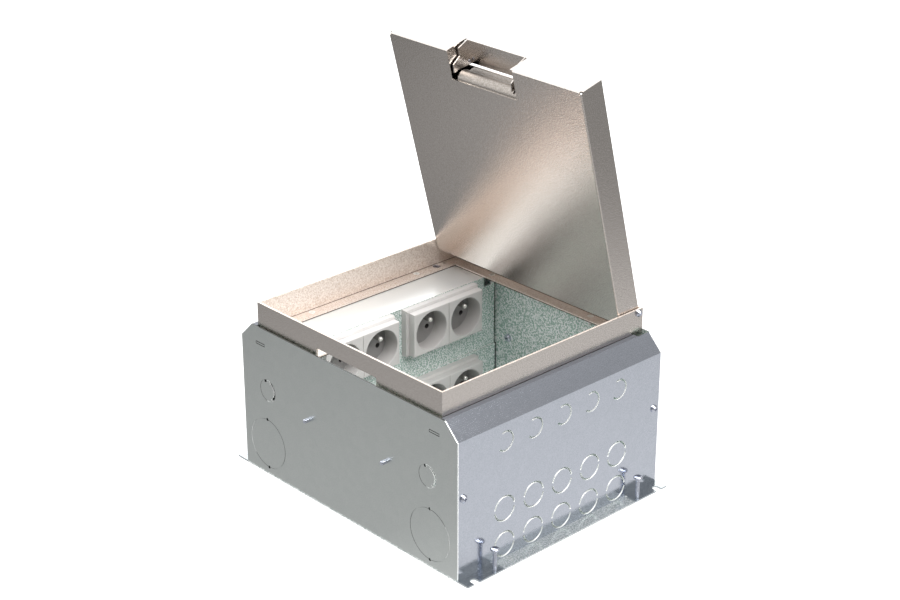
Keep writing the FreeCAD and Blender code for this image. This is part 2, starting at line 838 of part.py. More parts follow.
# Levelling screws standing in the feet
level_form = template("levelling_form")
level_radius = dims.level_diameter / 2
head_radius = dims.level_head / 2
revolve(level_form, [
    (0, 0.3),
    (level_radius - 0.5, 0.3),
    (level_radius, 0.8),
    (level_radius, dims.level_height - 2.6),
    (head_radius, dims.level_height - 2.6),
    (head_radius, dims.level_height - 1.4),
    (head_radius - 1.0, dims.level_height - 0.4),
    (head_radius - 2.4, dims.level_height),
    (0, dims.level_height),
])
slot_recess(level_form, dims.level_height, head_radius * 0.52, dims.level_head / 9, 1.1)
for side_name, side in (("left", -1), ("right", 1)):
    for end_name, end in (("front", -1), ("rear", 1)):
        group_of(f"levelling_screw_{side_name}_{end_name}", level_form, [Placement(
            Vector(val(level_screw_x) * side, val(level_screw_y) * end, 0),
            Rotation(Vector(0, 0, 1), 30 + 50 * side + 20 * end))])

# Pan head screws through the side walls into the plate returns
wall_form = template("wall_screw_form")
shank = dims.wall_screw / 2
pan = dims.wall_screw_head / 2
pan_height = dims.wall_screw_head / 3
shank_low = -sheet_gauge * 2 - shank
revolve(wall_form, [
    (0, shank_low),
    (shank, shank_low),
    (shank, 0),
    (pan, 0),
    (pan, pan_height * 0.4),
    (pan * 0.6, pan_height),
    (0, pan_height),
])
cross_recess(wall_form, pan_height, pan * 0.48, dims.wall_screw_head / 10, 1.2)
wall_places = []
for side in (-1, 1):
    for end in (-1, 1):
        wall_places.append(Placement(
            Vector(val(half_width) * side, val(wall_screw_y) * end,
                   val(dims.wall_screw_height)),
            Rotation(Vector(0, 1, 0), 90 * side)))
group_of("wall_screws", wall_form, wall_places)

# Threaded studs: head inside, thread standing out of the front and back plates
stud_form = template("stud_form")
stud_radius = dims.stud_diameter / 2
stud_bevel = stud_radius / 4
stud_head = dims.stud_head / 2
head_low = -sheet_gauge - dims.stud_head * 0.4
revolve(stud_form, [
    (0, head_low),
    (stud_head * 0.7, head_low),
    (stud_head, head_low + stud_head * 0.3),
    (stud_head, -sheet_gauge),
    (stud_radius, -sheet_gauge),
    (stud_radius, dims.stud_length - stud_bevel),
    (stud_radius - stud_bevel, dims.stud_length),
    (0, dims.stud_length),
])
slot_recess(stud_form, head_low, stud_head * 0.5, dims.stud_head / 9, 1.3, reverse=True)
stud_places = []
for stud_x in (dims.stud_left_x, dims.stud_right_x):
    for end in (-1, 1):
        stud_places.append(Placement(
            Vector(val(stud_x), val(half_depth) * end, val(dims.stud_height)),
            Rotation(Vector(1, 0, 0), -90 * end)))
group_of("plate_studs", stud_form, stud_places)

# Lower socket panel, standing on the base plate
cut_half = dims.cutout_length / 2
cut_rise = dims.cutout_height / 2
panel_gauge = dims.panel_sheet
# the room that two bezels leave under the frame opening is shared out in front,
# between and behind them
spare_room = (opening_end - dims.bezel_length) * 2
front_socket_y = dims.bezel_length / 2 + spare_room * front_share - opening_end
rear_socket_y = opening_end - spare_room * rear_share - dims.bezel_length / 2
socket_rows = (front_socket_y, rear_socket_y)
lower_face = dims.panel_x + dims.slide_gap + panel_gauge
lower_panel_top = flange_low - dims.lower_panel_drop
lower_row_height = flange_low - dims.lower_row_drop
lower = new_body("lower_socket_panel")
profile = sketch_on(lower, "XZ", inner_depth)
polygon(profile, [
    (lower_face, sheet_gauge),
    (lower_face, lower_panel_top),
    (lower_face - panel_gauge, lower_panel_top),
    (lower_face - panel_gauge, sheet_gauge + panel_gauge),
    (lower_face - dims.panel_foot, sheet_gauge + panel_gauge),
    (lower_face - dims.panel_foot, sheet_gauge),
])
pad(lower, profile, inner_depth * 2)
cuts = sketch_on(lower, "YZ", lower_face)
for row_y in socket_rows:
    rectangle(cuts, row_y - cut_half, row_y + cut_half,
              lower_row_height - cut_rise, lower_row_height + cut_rise)
pocket(lower, cuts, panel_gauge)

# Upper socket panel with its shelf, hung below the frame flange
upper = new_body("upper_socket_panel")
face_outline = sketch_on(upper, "YZ", dims.panel_x)
panel_end = inner_depth - dims.slide_gap * 1.5
upper_bottom = flange_low - dims.upper_panel_drop
notch_level = flange_low - dims.panel_notch_drop
shelf_half = opening_end + dims.shelf_overlap
upper_row_height = flange_low - dims.upper_row_drop
polygon(face_outline, [
    (-panel_end, upper_bottom),
    (panel_end, upper_bottom),
    (panel_end, notch_level),
    (shelf_half, notch_level),
    (shelf_half, flange_low),
    (-shelf_half, flange_low),
    (-shelf_half, notch_level),
    (-panel_end, notch_level),
])
for row_y in socket_rows:
    rectangle(face_outline, row_y - cut_half, row_y + cut_half,
              upper_row_height - cut_rise, upper_row_height + cut_rise)
pad(upper, face_outline, panel_gauge, reverse=True)
shelf = sketch_on(upper, "XY", flange_low)
shelf_edge = dims.slide_gap - inner_side
rectangle(shelf, shelf_edge, dims.panel_x - panel_gauge, -shelf_half, shelf_half)
pad(upper, shelf, panel_gauge, reverse=True)
shelf_holes = sketch_on(upper, "XY", flange_low)
for end in (-1, 1):
    circle(shelf_holes, -side_screw, dims.flange_screw_mid * end, dims.flange_screw)
    circle(shelf_holes, -adjuster_x, adjuster_y * end,
           dims.adjuster_collar + dims.slide_gap * 10)
pocket(upper, shelf_holes, panel_gauge)

# Double socket outlets and the bezels that hold them in the panels
bezel_form = template("bezel_form")
ring = sketch_on(bezel_form, "YZ")
rectangle(ring, -dims.bezel_length / 2, dims.bezel_length / 2,
          -dims.bezel_height / 2, dims.bezel_height / 2)
rectangle(ring, -dims.socket_length / 2, dims.socket_length / 2,
          -dims.socket_height / 2, dims.socket_height / 2)
pad(bezel_form, ring, dims.bezel_proud)
round_edges(bezel_form, 1.6, lambda edge: (
    abs(edge.CenterOfMass.x - val(dims.bezel_proud)) < 1e-4
    and (abs(abs(edge.CenterOfMass.y) - val(dims.bezel_length) / 2) < 1e-4
         or abs(abs(edge.CenterOfMass.z) - val(dims.bezel_height) / 2) < 1e-4)),
    kind="Chamfer")

socket_form = template("socket_form")
face = sketch_on(socket_form, "YZ")
rectangle(face, -dims.socket_length / 2, dims.socket_length / 2,
          -dims.socket_height / 2, dims.socket_height / 2)
pad(socket_form, face, dims.socket_proud)
round_edges(socket_form, 1.0, lambda edge: (
    abs(edge.CenterOfMass.x - val(dims.socket_proud)) < 1e-4))
back = sketch_on(socket_form, "YZ")
rectangle(back, -cut_half + 1, cut_half - 1, -cut_rise + 1, cut_rise - 1)
pad(socket_form, back, dims.socket_back_depth, reverse=True)
contact_depth = dims.socket_proud + dims.socket_back_depth - dims.well_depth - 8
wells = sketch_on(socket_form, "YZ", dims.socket_proud)
contacts = sketch_on(socket_form, "YZ", dims.socket_proud - dims.well_depth)
for side in (-1, 1):
    well_y = dims.well_pitch * side / 2
    circle(wells, well_y, 0, dims.well_diameter)
    for hand in (-1, 1):
        circle(contacts, well_y + dims.contact_half_pitch * hand, -dims.contact_drop,
               dims.contact_hole)
pocket(socket_form, wells, dims.well_depth)
pocket(socket_form, contacts, contact_depth)
seam = sketch_on(socket_form, "YZ", dims.socket_proud)
seam_half = dims.module_seam / 2
rectangle(seam, -seam_half, seam_half, -dims.socket_height, dims.socket_height)
pocket(socket_form, seam, dims.module_seam)

pin_form = template("earth_pin_form")
pin_radius = dims.earth_pin / 2
pin_length = dims.well_depth - 1
revolve(pin_form, [
    (0, 0),
    (pin_radius, 0),
    (pin_radius, pin_length - pin_radius * 0.8),
    (pin_radius * 0.75, pin_length - pin_radius * 0.25),
    (pin_radius * 0.3, pin_length),
    (0, pin_length),
])
upright = Rotation(Vector(0, 1, 0), 90)
for row_name, face_x, row_height in (
        ("upper", dims.panel_x, upper_row_height),
        ("lower", lower_face, lower_row_height)):
    pin_places = []
    for end_name, row_y in (("front", front_socket_y), ("rear", rear_socket_y)):
        place = Placement(Vector(val(face_x), val(row_y), val(row_height)), Rotation())
        group_of(f"{row_name}_{end_name}_bezel", bezel_form, [place])
        group_of(f"{row_name}_{end_name}_socket", socket_form, [place])
        for side in (-1, 1):
            floor_x = face_x + dims.socket_proud - dims.well_depth
            pin_places.append(Placement(Vector(
                val(floor_x),
                val(row_y + dims.well_pitch * side / 2),
                val(row_height + dims.earth_pin_rise)), upright))
    group_of(f"{row_name}_earth_pins", pin_form, pin_places)

# Lid tray, drawn closed and then turned open about the hinge
lid_low = lid_top - dims.lid_depth
lid_floor = lid_low + dims.lid_sheet
lid_back = hinge_y + dims.lid_heel
lid = new_body("lid")
outline = sketch_on(lid, "XY", lid_low)
rectangle(outline, -lid_half_width, lid_half_width, -lid_front, lid_back)
pad(lid, outline, dims.lid_depth)
hollow = sketch_on(lid, "XY", lid_top)
lid_inner = lid_half_width - dims.lid_sheet
rectangle(hollow, -lid_inner, lid_inner,
          -lid_front + dims.lid_sheet, lid_back - dims.lid_sheet)
pocket(lid, hollow, dims.lid_depth - dims.lid_sheet)
round_edges(lid, dims.lid_bend, lambda edge: abs(edge.BoundBox.ZMax - val(lid_low)) < 1e-4)
corners = sketch_on(lid, "XY", lid_low)
for side in (-1, 1):
    rectangle(corners, (lid_half_width - dims.corner_relief) * side,
              (lid_half_width + 1) * side,
              -lid_front - 1, -lid_front + dims.corner_relief)
pocket(lid, corners, dims.corner_relief, reverse=True)
ear_radius = lid_top - hinge_height
for side in (-1, 1):
    ear = sketch_on(lid, "YZ", (lid_inner if side > 0 else -lid_half_width))
    circle(ear, hinge_y, hinge_height, ear_radius * 2)
    pad(lid, ear, dims.lid_sheet)
ear_holes = sketch_on(lid, "YZ", lid_half_width)
circle(ear_holes, hinge_y, hinge_height, dims.hinge_pin + dims.running_gap * 2)
pocket(lid, ear_holes, dims.lid_sheet)
ear_holes = sketch_on(lid, "YZ", -lid_half_width)
circle(ear_holes, hinge_y, hinge_height, dims.hinge_pin + dims.running_gap * 2)
pocket(lid, ear_holes, dims.lid_sheet, reverse=True)
outlet_cut = sketch_on(lid, "XY", lid_floor)
plate_cut_left = dims.outlet_centre - dims.plate_cut_left
plate_cut_right = dims.outlet_centre + dims.plate_cut_right
rectangle(outlet_cut, plate_cut_left, plate_cut_right,
          -lid_front - 1, -lid_front + dims.outlet_depth)
pocket(lid, outlet_cut, dims.lid_sheet * 2)
wall_cut = sketch_on(lid, "XZ", -lid_front)
rectangle(wall_cut, dims.outlet_centre - dims.wall_cut_half,
          dims.outlet_centre + dims.wall_cut_half, lid_low - 1, lid_top + 1)
pocket(lid, wall_cut, dims.lid_sheet)
flap_gauge = dims.flap_sheet
front_y = -lid_front
for side in (-1, 1):
    # small fixed cheek turned up beside the cut-out
    near_x = plate_cut_left if side < 0 else plate_cut_right + flap_gauge
    cheek = sketch_on(lid, "YZ", near_x)
    polygon(cheek, [
        (front_y + dims.lid_sheet + flap_gauge / 6, lid_low + dims.lid_sheet),
        (front_y + dims.lid_sheet + flap_gauge / 6, lid_low + dims.outlet_depth * 0.3133),
        (front_y + dims.outlet_depth * 0.3433, lid_low + dims.outlet_depth * 0.3767),
        (front_y + dims.outlet_depth * 0.4933, lid_low + dims.lid_sheet),
    ])
    pad(lid, cheek, flap_gauge, reverse=True)

# Rounded cable trough behind the outlet, and the cover around the flap
trough = new_body("outlet_trough")
flap_half = dims.wall_cut_half - dims.flap_side_gap
flap_left = dims.outlet_centre - flap_half
flap_right = dims.outlet_centre + flap_half
trough_left = flap_left + flap_gauge * 3
trough_right = plate_cut_right - flap_gauge / 2
curve = sketch_on(trough, "YZ", trough_left)
trough_foot = front_y + dims.outlet_depth
lip_height = lid_low + dims.lid_depth - dims.flap_sink
lip_y = front_y + dims.flap_depth + dims.flap_rear_gap
trough_lip = lip_y + flap_gauge / 2
rise_low = lid_floor
curve_top = rise_low + dims.trough_rise
curved_outline(curve, [
    (trough_foot, rise_low, dims.trough_bend, -1),
    (trough_lip, curve_top, 0, 0),
    (trough_lip, lip_height - flap_gauge, 0, 0),
    (trough_lip + flap_gauge, lip_height - flap_gauge, 0, 0),
    (trough_lip + flap_gauge, curve_top + flap_gauge / 2, dims.trough_bend + flap_gauge, 1),
    (trough_foot + flap_gauge * 1.5, rise_low, 0, 0),
])
pad(trough, curve, trough_right - trough_left)
cheek_slot = sketch_on(trough, "XY", rise_low)
slot_gap = flap_gauge / 2
rectangle(cheek_slot, flap_right - flap_gauge - slot_gap, flap_right + slot_gap,
          front_y, front_y + dims.flap_depth + flap_gauge * 2)
pocket(trough, cheek_slot, dims.lid_depth, reverse=True)

cover = new_body("outlet_cover")
cover_left = plate_cut_left - flap_gauge - dims.cover_side_gap
cover_right = plate_cut_right + flap_gauge + dims.cover_side_gap
pivot_y = front_y + dims.flap_depth - dims.pivot_inset
cover_back = pivot_y + dims.cover_reach
walls = sketch_on(cover, "XY", lid_floor)
cover_front = front_y + dims.lid_sheet + 0.2
polygon(walls, [
    (cover_left, cover_front),
    (cover_left, cover_back),
    (cover_right, cover_back),
    (cover_right, cover_front),
    (cover_right - flap_gauge, cover_front),
    (cover_right - flap_gauge, cover_back - flap_gauge),
    (cover_left + flap_gauge, cover_back - flap_gauge),
    (cover_left + flap_gauge, cover_front),
])
pad(cover, walls, lip_height - flap_gauge - lid_floor)
roof = sketch_on(cover, "XY", lip_height)
rectangle(roof, cover_left, cover_right, lip_y, cover_back)
pad(cover, roof, flap_gauge, reverse=True)

# Flap: plate over the outlet with two cheeks, turning on rivets near its back
flap = new_body("flap")
flap_top = lip_height
plate = sketch_on(flap, "XY", flap_top)
rectangle(plate, flap_left, flap_right, front_y, front_y + dims.flap_depth)
pad(flap, plate, flap_gauge, reverse=True)
# outline below the plate, as shares of the flap's depth and the lid's height
cheek_shares = ((0.115, 0.456), (0.443, 0.441), (0.631, 0.091), (0.959, 0.050), (0.943, 0.342))
cheek_points = [
    (front_y + dims.flap_depth * along, lid_low + dims.lid_depth * up)
    for along, up in cheek_shares
]
for near_x in (flap_left + flap_gauge, flap_right):
    cheek = sketch_on(flap, "YZ", near_x)
    polygon(cheek, [
        (front_y, flap_top - flap_gauge),
        *cheek_points,
        (front_y + dims.flap_depth, flap_top - flap_gauge),
    ])
    pad(flap, cheek, flap_gauge, reverse=True)
pivot_height = flap_top - dims.pivot_drop
pivots = sketch_on(flap, "YZ", flap_left + flap_gauge)
circle(pivots, pivot_y, pivot_height, dims.pivot_diameter + dims.running_gap * 2)
pocket(flap, pivots, flap_gauge)
pivots = sketch_on(flap, "YZ", flap_right)
circle(pivots, pivot_y, pivot_height, dims.pivot_diameter + dims.running_gap * 2)
pocket(flap, pivots, flap_gauge)

# Pivot rivets, from the cover's sides into the flap's cheeks
rivets = document.addObject("Part::Feature", "Pivot_rivets")
rivet_shapes = []
for inner_x_edge, outer_x_edge in (
        (flap_left + flap_gauge + 0.5, cover_left),
        (flap_right - flap_gauge - 0.5, cover_right)):
    start = Vector(val(inner_x_edge), val(pivot_y), val(pivot_height))
    length = val(outer_x_edge) - val(inner_x_edge)
    rivet_shapes.append(Part.makeCylinder(
        val(dims.pivot_diameter) / 2, abs(length), start,
        Vector(math.copysign(1, length), 0, 0)))
rivets.Shape = Part.makeCompound(rivet_shapes)
rivets.Label = "pivot_rivets"
sub_parts.append(rivets)

# Rivet holes in the cover
for side in (-1, 1):
    hole = sketch_on(cover, "YZ", cover_right if side > 0 else cover_left + flap_gauge)
    circle(hole, pivot_y, pivot_height, dims.pivot_diameter)
    pocket(cover, hole, flap_gauge)

# Hinge pins: dome head outside the frame, tip level with the lid's inner face
pin_source = template("hinge_pin_form")
head_radius = dims.hinge_head / 2
pin_reach = frame_side - lid_inner
revolve(pin_source, [
    (0, -pin_reach),
    (dims.hinge_pin / 2, -pin_reach),
    (dims.hinge_pin / 2, 0),
    (head_radius, 0),
    (head_radius, head_radius * 0.35),
    (head_radius * 0.5, head_radius * 0.9),
    (0, head_radius * 0.9),
])
hinge_places = []
for side in (-1, 1):
    hinge_places.append(Placement(
        Vector(val(frame_side) * side, val(hinge_y), val(hinge_height)),
        Rotation(Vector(0, 1, 0), 90 * side)))
group_of("hinge_pins", pin_source, hinge_places)

# Turn the whole lid open
hinge_line = Vector(0, val(hinge_y), val(hinge_height))
opening = Placement(Vector(0, 0, 0),
                    Rotation(Vector(1, 0, 0), -val(dims.lid_open_angle)), hinge_line)
lid_group = ("lid", "outlet_trough", "outlet_cover", "flap", "pivot_rivets")
for part in sub_parts:
    if part.Label in lid_group:
        part.Placement = opening.multiply(part.Placement)

document.recompute()

# Every object is checked before anything is written
for item in document.Objects:
    if "Invalid" in item.State or "Error" in item.State:
        raise RuntimeError("failed object: " + item.Label + " " + str(item.State))
for part in sub_parts:
    if part.Shape.isNull() or not part.Shape.isValid() or not part.Shape.Solids:
        raise RuntimeError("bad shape: " + part.Label)

os.makedirs("parts", exist_ok=True)
for part in sub_parts:
    part.Shape.exportStep("parts/" + part.Label + ".step")
    print(part.Label, len(part.Shape.Solids), "solids,",
          round(part.Shape.Volume / 1000, 2), "cm3")
print(len(sub_parts), "sub-parts written")
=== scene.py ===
import math

import bmesh
import bpy
from mathutils import Matrix, Vector


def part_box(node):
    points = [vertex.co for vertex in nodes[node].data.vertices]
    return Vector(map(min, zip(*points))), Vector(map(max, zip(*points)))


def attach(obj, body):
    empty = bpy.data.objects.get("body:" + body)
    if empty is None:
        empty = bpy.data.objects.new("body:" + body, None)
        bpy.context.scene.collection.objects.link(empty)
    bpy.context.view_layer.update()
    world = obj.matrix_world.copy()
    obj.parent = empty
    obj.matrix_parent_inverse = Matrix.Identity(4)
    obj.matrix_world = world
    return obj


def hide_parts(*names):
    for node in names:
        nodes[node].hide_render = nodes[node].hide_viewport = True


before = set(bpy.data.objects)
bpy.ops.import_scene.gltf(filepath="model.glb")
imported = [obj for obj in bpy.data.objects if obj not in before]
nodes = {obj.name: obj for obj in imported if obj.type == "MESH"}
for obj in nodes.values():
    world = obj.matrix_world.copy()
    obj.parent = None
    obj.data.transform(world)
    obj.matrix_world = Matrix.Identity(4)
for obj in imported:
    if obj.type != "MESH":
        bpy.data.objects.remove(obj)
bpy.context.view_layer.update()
scene = bpy.context.scene
mm = 0.001
print("frame loaded:", len(nodes), "nodes")


# colour and node helpers
def toLinear(hexColour):
    # sRGB hex to the linear values that the shaders take
    channels = [int(hexColour[i:i + 2], 16) / 255 for i in (1, 3, 5)]
    linear = [c / 12.92 if c <= 0.04045 else ((c + 0.055) / 1.055) ** 2.4 for c in channels]
    return (*linear, 1.0)


def addNode(tree, kind, settings=None, links=None):
    # settings: property or input values, "stops" for a ramp; links: input to output socket
    node = tree.nodes.new(kind)
    for key, value in (settings or {}).items():
        if key == "stops":
            elements = node.color_ramp.elements
            while len(elements) < len(value):
                elements.new(0.5)
            for element, (position, colour) in zip(elements, value):
                element.position = position
                element.color = colour if isinstance(colour, tuple) else (colour,) * 3 + (1.0,)
        elif isinstance(key, str) and hasattr(node, key):
            setattr(node, key, value)
        else:
            node.inputs[key].default_value = value
    for key, source in (links or {}).items():
        tree.links.new(source, node.inputs[key])
    return node


def startMaterial(name):
    material = bpy.data.materials.new(name)
    material.use_nodes = True
    tree = material.node_tree
    tree.nodes.clear()
    output = addNode(tree, "ShaderNodeOutputMaterial")
    coords = addNode(tree, "ShaderNodeTexCoord")
    return material, tree, output, coords


# A face counts as looking up, broad or inward once its normal passes these values
facingLimit = {"up": 0.7, "broad": 0.3, "inward": -0.001}

# Galvanised sheet: dipped in zinc, cool grey, semi-gloss, with a fine sparkling grain
zincOuter = {
    "grainMm": 1.1,            # grain of the zinc skin, drawn coarser than the real one
    "spangleMm": 7.0,          # broad zinc crystals, only just seen
    "spangleShare": 0.10,
    "contrast": 0.30,          # tone difference between grains
    "bump": 0.16,
}
zincInner = {                  # the same sheet inside the box, matt, its paler colours painted light for the lit inside
    "light": "#fcfffe",
    "dark": "#a6c0b6",
    "floorLight": "#f6f9f8",
    "floorDark": "#a3adab",
    "grainMm": 1.37,
    "grainBand": (0.43, 0.57),
    "metallic": 0.30,
    "floorMetallic": 0.25,
    "roughness": 0.30,
    "bump": 0.9,
    "floorHalf": 0.149,        # the box's floor ends this far from the middle, in metres
    "footShare": 0.34,         # how much of the matt, painted-light look the middle of each foot has
    "footHalf": 0.0850,        # that stretch of the foot ends here, in metres
    "footFade": 0.0018,
}
zincBright = {                 # cut edges and the shelf's top, paler and softer: painted highlight, with painted shade in grooves
    "light": "#fbfcfb",
    "score": "#3f4342",        # painted shade in scored rings, slots, along plate tops and at panels' rear edges
    "metallic": 0.35,
    "edgeMetallic": 0.30,      # cut edges, pale all round as painted highlight
    "roughness": 0.24,
    "litTopShare": 0.72,         # how much painted highlight the shelf's top has
    "panelEnd": 0.1279,        # the painted shadow line along each panel's rear edge starts here, in metres
    "plateEnd": 0.1345,        # the painted highlight on each plate's ends starts here, in metres
    "knockoutX": 0.1122,       # middle of each small knockout
    "knockoutZ": 0.0912,
    "knockoutReach": 0.0125,   # a little more than its radius
    "knockoutOpen": -0.002,    # its painted highlight starts this far from its middle
}


def zincSkin(tree, coords, light, dark, roughness):
    # the outer face: fine grain over broad crystals
    grain = addNode(tree, "ShaderNodeTexNoise",
                    {"Scale": 1000 / zincOuter["grainMm"], "Detail": 2.0, "Roughness": 0.6},
                    {"Vector": coords.outputs["Object"]})
    spangle = addNode(tree, "ShaderNodeTexVoronoi", {"Scale": 1000 / zincOuter["spangleMm"]},
                      {"Vector": coords.outputs["Object"]})
    crystal = addNode(tree, "ShaderNodeSeparateColor", links={"Color": spangle.outputs["Color"]})
    tone = addNode(tree, "ShaderNodeMath",
                   {"operation": "MULTIPLY_ADD", 1: zincOuter["spangleShare"]},
                   {0: crystal.outputs["Red"], 2: grain.outputs["Fac"]})
    middle = 0.5 + zincOuter["spangleShare"] / 2
    half = zincOuter["contrast"] / 2
    ramp = addNode(tree, "ShaderNodeValToRGB",
                   {"stops": [(middle - half, toLinear(dark)), (middle + half, toLinear(light))]},
                   {"Fac": tone.outputs["Value"]})
    height = addNode(tree, "ShaderNodeBump", {"Strength": zincOuter["bump"], "Distance": 0.0004},
                     {"Height": grain.outputs["Fac"]})
    return addNode(tree, "ShaderNodeBsdfPrincipled", {"Metallic": 1.0, "Roughness": roughness},
                   {"Base Color": ramp.outputs["Color"], "Normal": height.outputs["Normal"]})


def zincInside(tree, coords, underfoot):
    # the inner look: coarser grain, matt, with more tone, in paler colours painted as light for the
    # lit inside
    light, dark, metallic = (("floorLight", "floorDark", "floorMetallic") if underfoot
                             else ("light", "dark", "metallic"))
    grain = addNode(tree, "ShaderNodeTexNoise",
                    {"Scale": 1000 / zincInner["grainMm"], "Detail": 1.0, "Roughness": 0.6},
                    {"Vector": coords.outputs["Object"]})
    low, high = zincInner["grainBand"]
    ramp = addNode(tree, "ShaderNodeValToRGB",
                   {"stops": [(low, toLinear(zincInner[dark])), (high, toLinear(zincInner[light]))]},
                   {"Fac": grain.outputs["Fac"]})
    height = addNode(tree, "ShaderNodeBump", {"Strength": zincInner["bump"], "Distance": 0.0006},
                     {"Height": grain.outputs["Fac"]})
    return addNode(tree, "ShaderNodeBsdfPrincipled",
                   {"Metallic": zincInner[metallic], "Roughness": zincInner["roughness"]},
                   {"Base Color": ramp.outputs["Color"], "Normal": height.outputs["Normal"]})


def floorMask(tree, place):
    # the box's inside, and a paler stretch of each foot between its slits, both painted light
    reach = addNode(tree, "ShaderNodeMath", {"operation": "ABSOLUTE"}, {0: place.outputs["X"]})
    within = addNode(tree, "ShaderNodeMath",
                     {"operation": "LESS_THAN", 1: zincInner["floorHalf"]},
                     {0: reach.outputs["Value"]})
    along = addNode(tree, "ShaderNodeMath", {"operation": "ABSOLUTE"}, {0: place.outputs["Y"]})
    between = addNode(tree, "ShaderNodeMapRange",
                      {"From Min": zincInner["footHalf"],
                       "From Max": zincInner["footHalf"] + zincInner["footFade"],
                       "To Min": zincInner["footShare"], "To Max": 0.0},
                      {"Value": along.outputs["Value"]})
    return addNode(tree, "ShaderNodeMath", {"operation": "MAXIMUM"},
                   {0: within.outputs["Value"], 1: between.outputs["Result"]})


def panelMasks(tree, place, facing):
    # painted highlight on the shelf's top, and a painted shadow line along a panel's rear edge
    up = addNode(tree, "ShaderNodeMath", {"operation": "GREATER_THAN", 1: facingLimit["up"]},
                 {0: facing.outputs["Z"]})
    inside = addNode(tree, "ShaderNodeMath", {"operation": "SUBTRACT", 0: 1.0},
                     {1: up.outputs["Value"]})
    rear = addNode(tree, "ShaderNodeMath",
                   {"operation": "GREATER_THAN", 1: zincBright["panelEnd"]},
                   {0: place.outputs["Y"]})
    litTop = addNode(tree, "ShaderNodeMath",
                   {"operation": "MULTIPLY", 1: zincBright["litTopShare"]},
                   {0: up.outputs["Value"]})
    bright = addNode(tree, "ShaderNodeMath", {"operation": "MAXIMUM"},
                     {0: litTop.outputs["Value"], 1: rear.outputs["Value"]})
    pale = addNode(tree, "ShaderNodeMath", {"operation": "SUBTRACT", 0: 1.0},
                   {1: rear.outputs["Value"]})
    return inside, bright, pale


def addInward(tree, coords):
    # 1 where a face looks toward the upright line through the middle of the box
    level = addNode(tree, "ShaderNodeVectorMath", {"operation": "MULTIPLY", 1: (1, 1, 0)},
                    {0: coords.outputs["Object"]})
    away = addNode(tree, "ShaderNodeVectorMath", {"operation": "DOT_PRODUCT"},
                   {0: level.outputs["Vector"], 1: coords.outputs["Normal"]})
    return addNode(tree, "ShaderNodeMath",
                   {"operation": "LESS_THAN", 1: facingLimit["inward"]},
                   {0: away.outputs["Value"]})


def wallMasks(tree, coords, facing, axis):
    # broad faces that look inward get the paler inner look, painted light, and cut edges get the pale
    # edge look, a painted highlight
    inward = addInward(tree, coords)
    tilt = addNode(tree, "ShaderNodeMath", {"operation": "ABSOLUTE"}, {0: facing.outputs[axis]})
    broad = addNode(tree, "ShaderNodeMath",
                    {"operation": "GREATER_THAN", 1: facingLimit["broad"]},
                    {0: tilt.outputs["Value"]})
    inside = addNode(tree, "ShaderNodeMath", {"operation": "MULTIPLY"},
                     {0: inward.outputs["Value"], 1: broad.outputs["Value"]})
    edge = addNode(tree, "ShaderNodeMath", {"operation": "LESS_THAN", 1: facingLimit["broad"]},
                   {0: tilt.outputs["Value"]})
    return inside, edge


def plateEdgeMask(tree, place):
    # a plate's cut edges carry painted highlight at its ends and along the open side of each small
    # knockout, and painted shade in scored rings, slots and along the top
    reach = addNode(tree, "ShaderNodeMath", {"operation": "ABSOLUTE"}, {0: place.outputs["X"]})
    end = addNode(tree, "ShaderNodeMath",
                  {"operation": "GREATER_THAN", 1: zincBright["plateEnd"]},
                  {0: reach.outputs["Value"]})
    band = addNode(tree, "ShaderNodeMath",
                   {"operation": "COMPARE", 1: zincBright["knockoutZ"],
                    2: zincBright["knockoutReach"]},
                   {0: place.outputs["Z"]})
    hand = addNode(tree, "ShaderNodeMath", {"operation": "SIGN"}, {0: place.outputs["X"]})
    offset = addNode(tree, "ShaderNodeMath",
                     {"operation": "MULTIPLY_ADD", 1: -zincBright["knockoutX"]},
                     {0: hand.outputs["Value"], 2: place.outputs["X"]})
    opened = addNode(tree, "ShaderNodeMath",
                     {"operation": "GREATER_THAN", 1: zincBright["knockoutOpen"]},
                     {0: offset.outputs["Value"]})
    ring = addNode(tree, "ShaderNodeMath", {"operation": "MULTIPLY"},
                   {0: band.outputs["Value"], 1: opened.outputs["Value"]})
    return addNode(tree, "ShaderNodeMath", {"operation": "MAXIMUM"},
                   {0: end.outputs["Value"], 1: ring.outputs["Value"]})


def makeGalvanised(name, light, dark, roughness, where):
    # where: "sides", "plates", "floor" or "panels", which faces get the inner look
    material, tree, output, coords = startMaterial(name)
    outer = zincSkin(tree, coords, light, dark, roughness)
    inner = zincInside(tree, coords, where == "floor")
    place = addNode(tree, "ShaderNodeSeparateXYZ", links={"Vector": coords.outputs["Object"]})
    facing = addNode(tree, "ShaderNodeSeparateXYZ", links={"Vector": coords.outputs["Normal"]})
    bright = None
    if where == "floor":
        inside = floorMask(tree, place)
    elif where == "panels":
        inside, bright, pale = panelMasks(tree, place, facing)
    else:
        inside, bright = wallMasks(tree, coords, facing, "X" if where == "sides" else "Y")
        pale = plateEdgeMask(tree, place) if where == "plates" else bright
    both = addNode(tree, "ShaderNodeMixShader", links={
        0: inside.outputs["Value"], 1: outer.outputs["BSDF"], 2: inner.outputs["BSDF"]})
    if bright:
        edgeTone = addNode(tree, "ShaderNodeValToRGB",
                           {"stops": [(0.0, toLinear(zincBright["score"])),
                                      (1.0, toLinear(zincBright["light"]))]},
                           {"Fac": pale.outputs["Value"]})
        metallic = zincBright["metallic" if where == "panels" else "edgeMetallic"]
        paler = addNode(tree, "ShaderNodeBsdfPrincipled",
                        {"Metallic": metallic, "Roughness": zincBright["roughness"]},
                        {"Base Color": edgeTone.outputs["Color"]})
        both = addNode(tree, "ShaderNodeMixShader", links={
            0: bright.outputs["Value"], 1: both.outputs["Shader"], 2: paler.outputs["BSDF"]})
    tree.links.new(both.outputs["Shader"], output.inputs["Surface"])
    return material


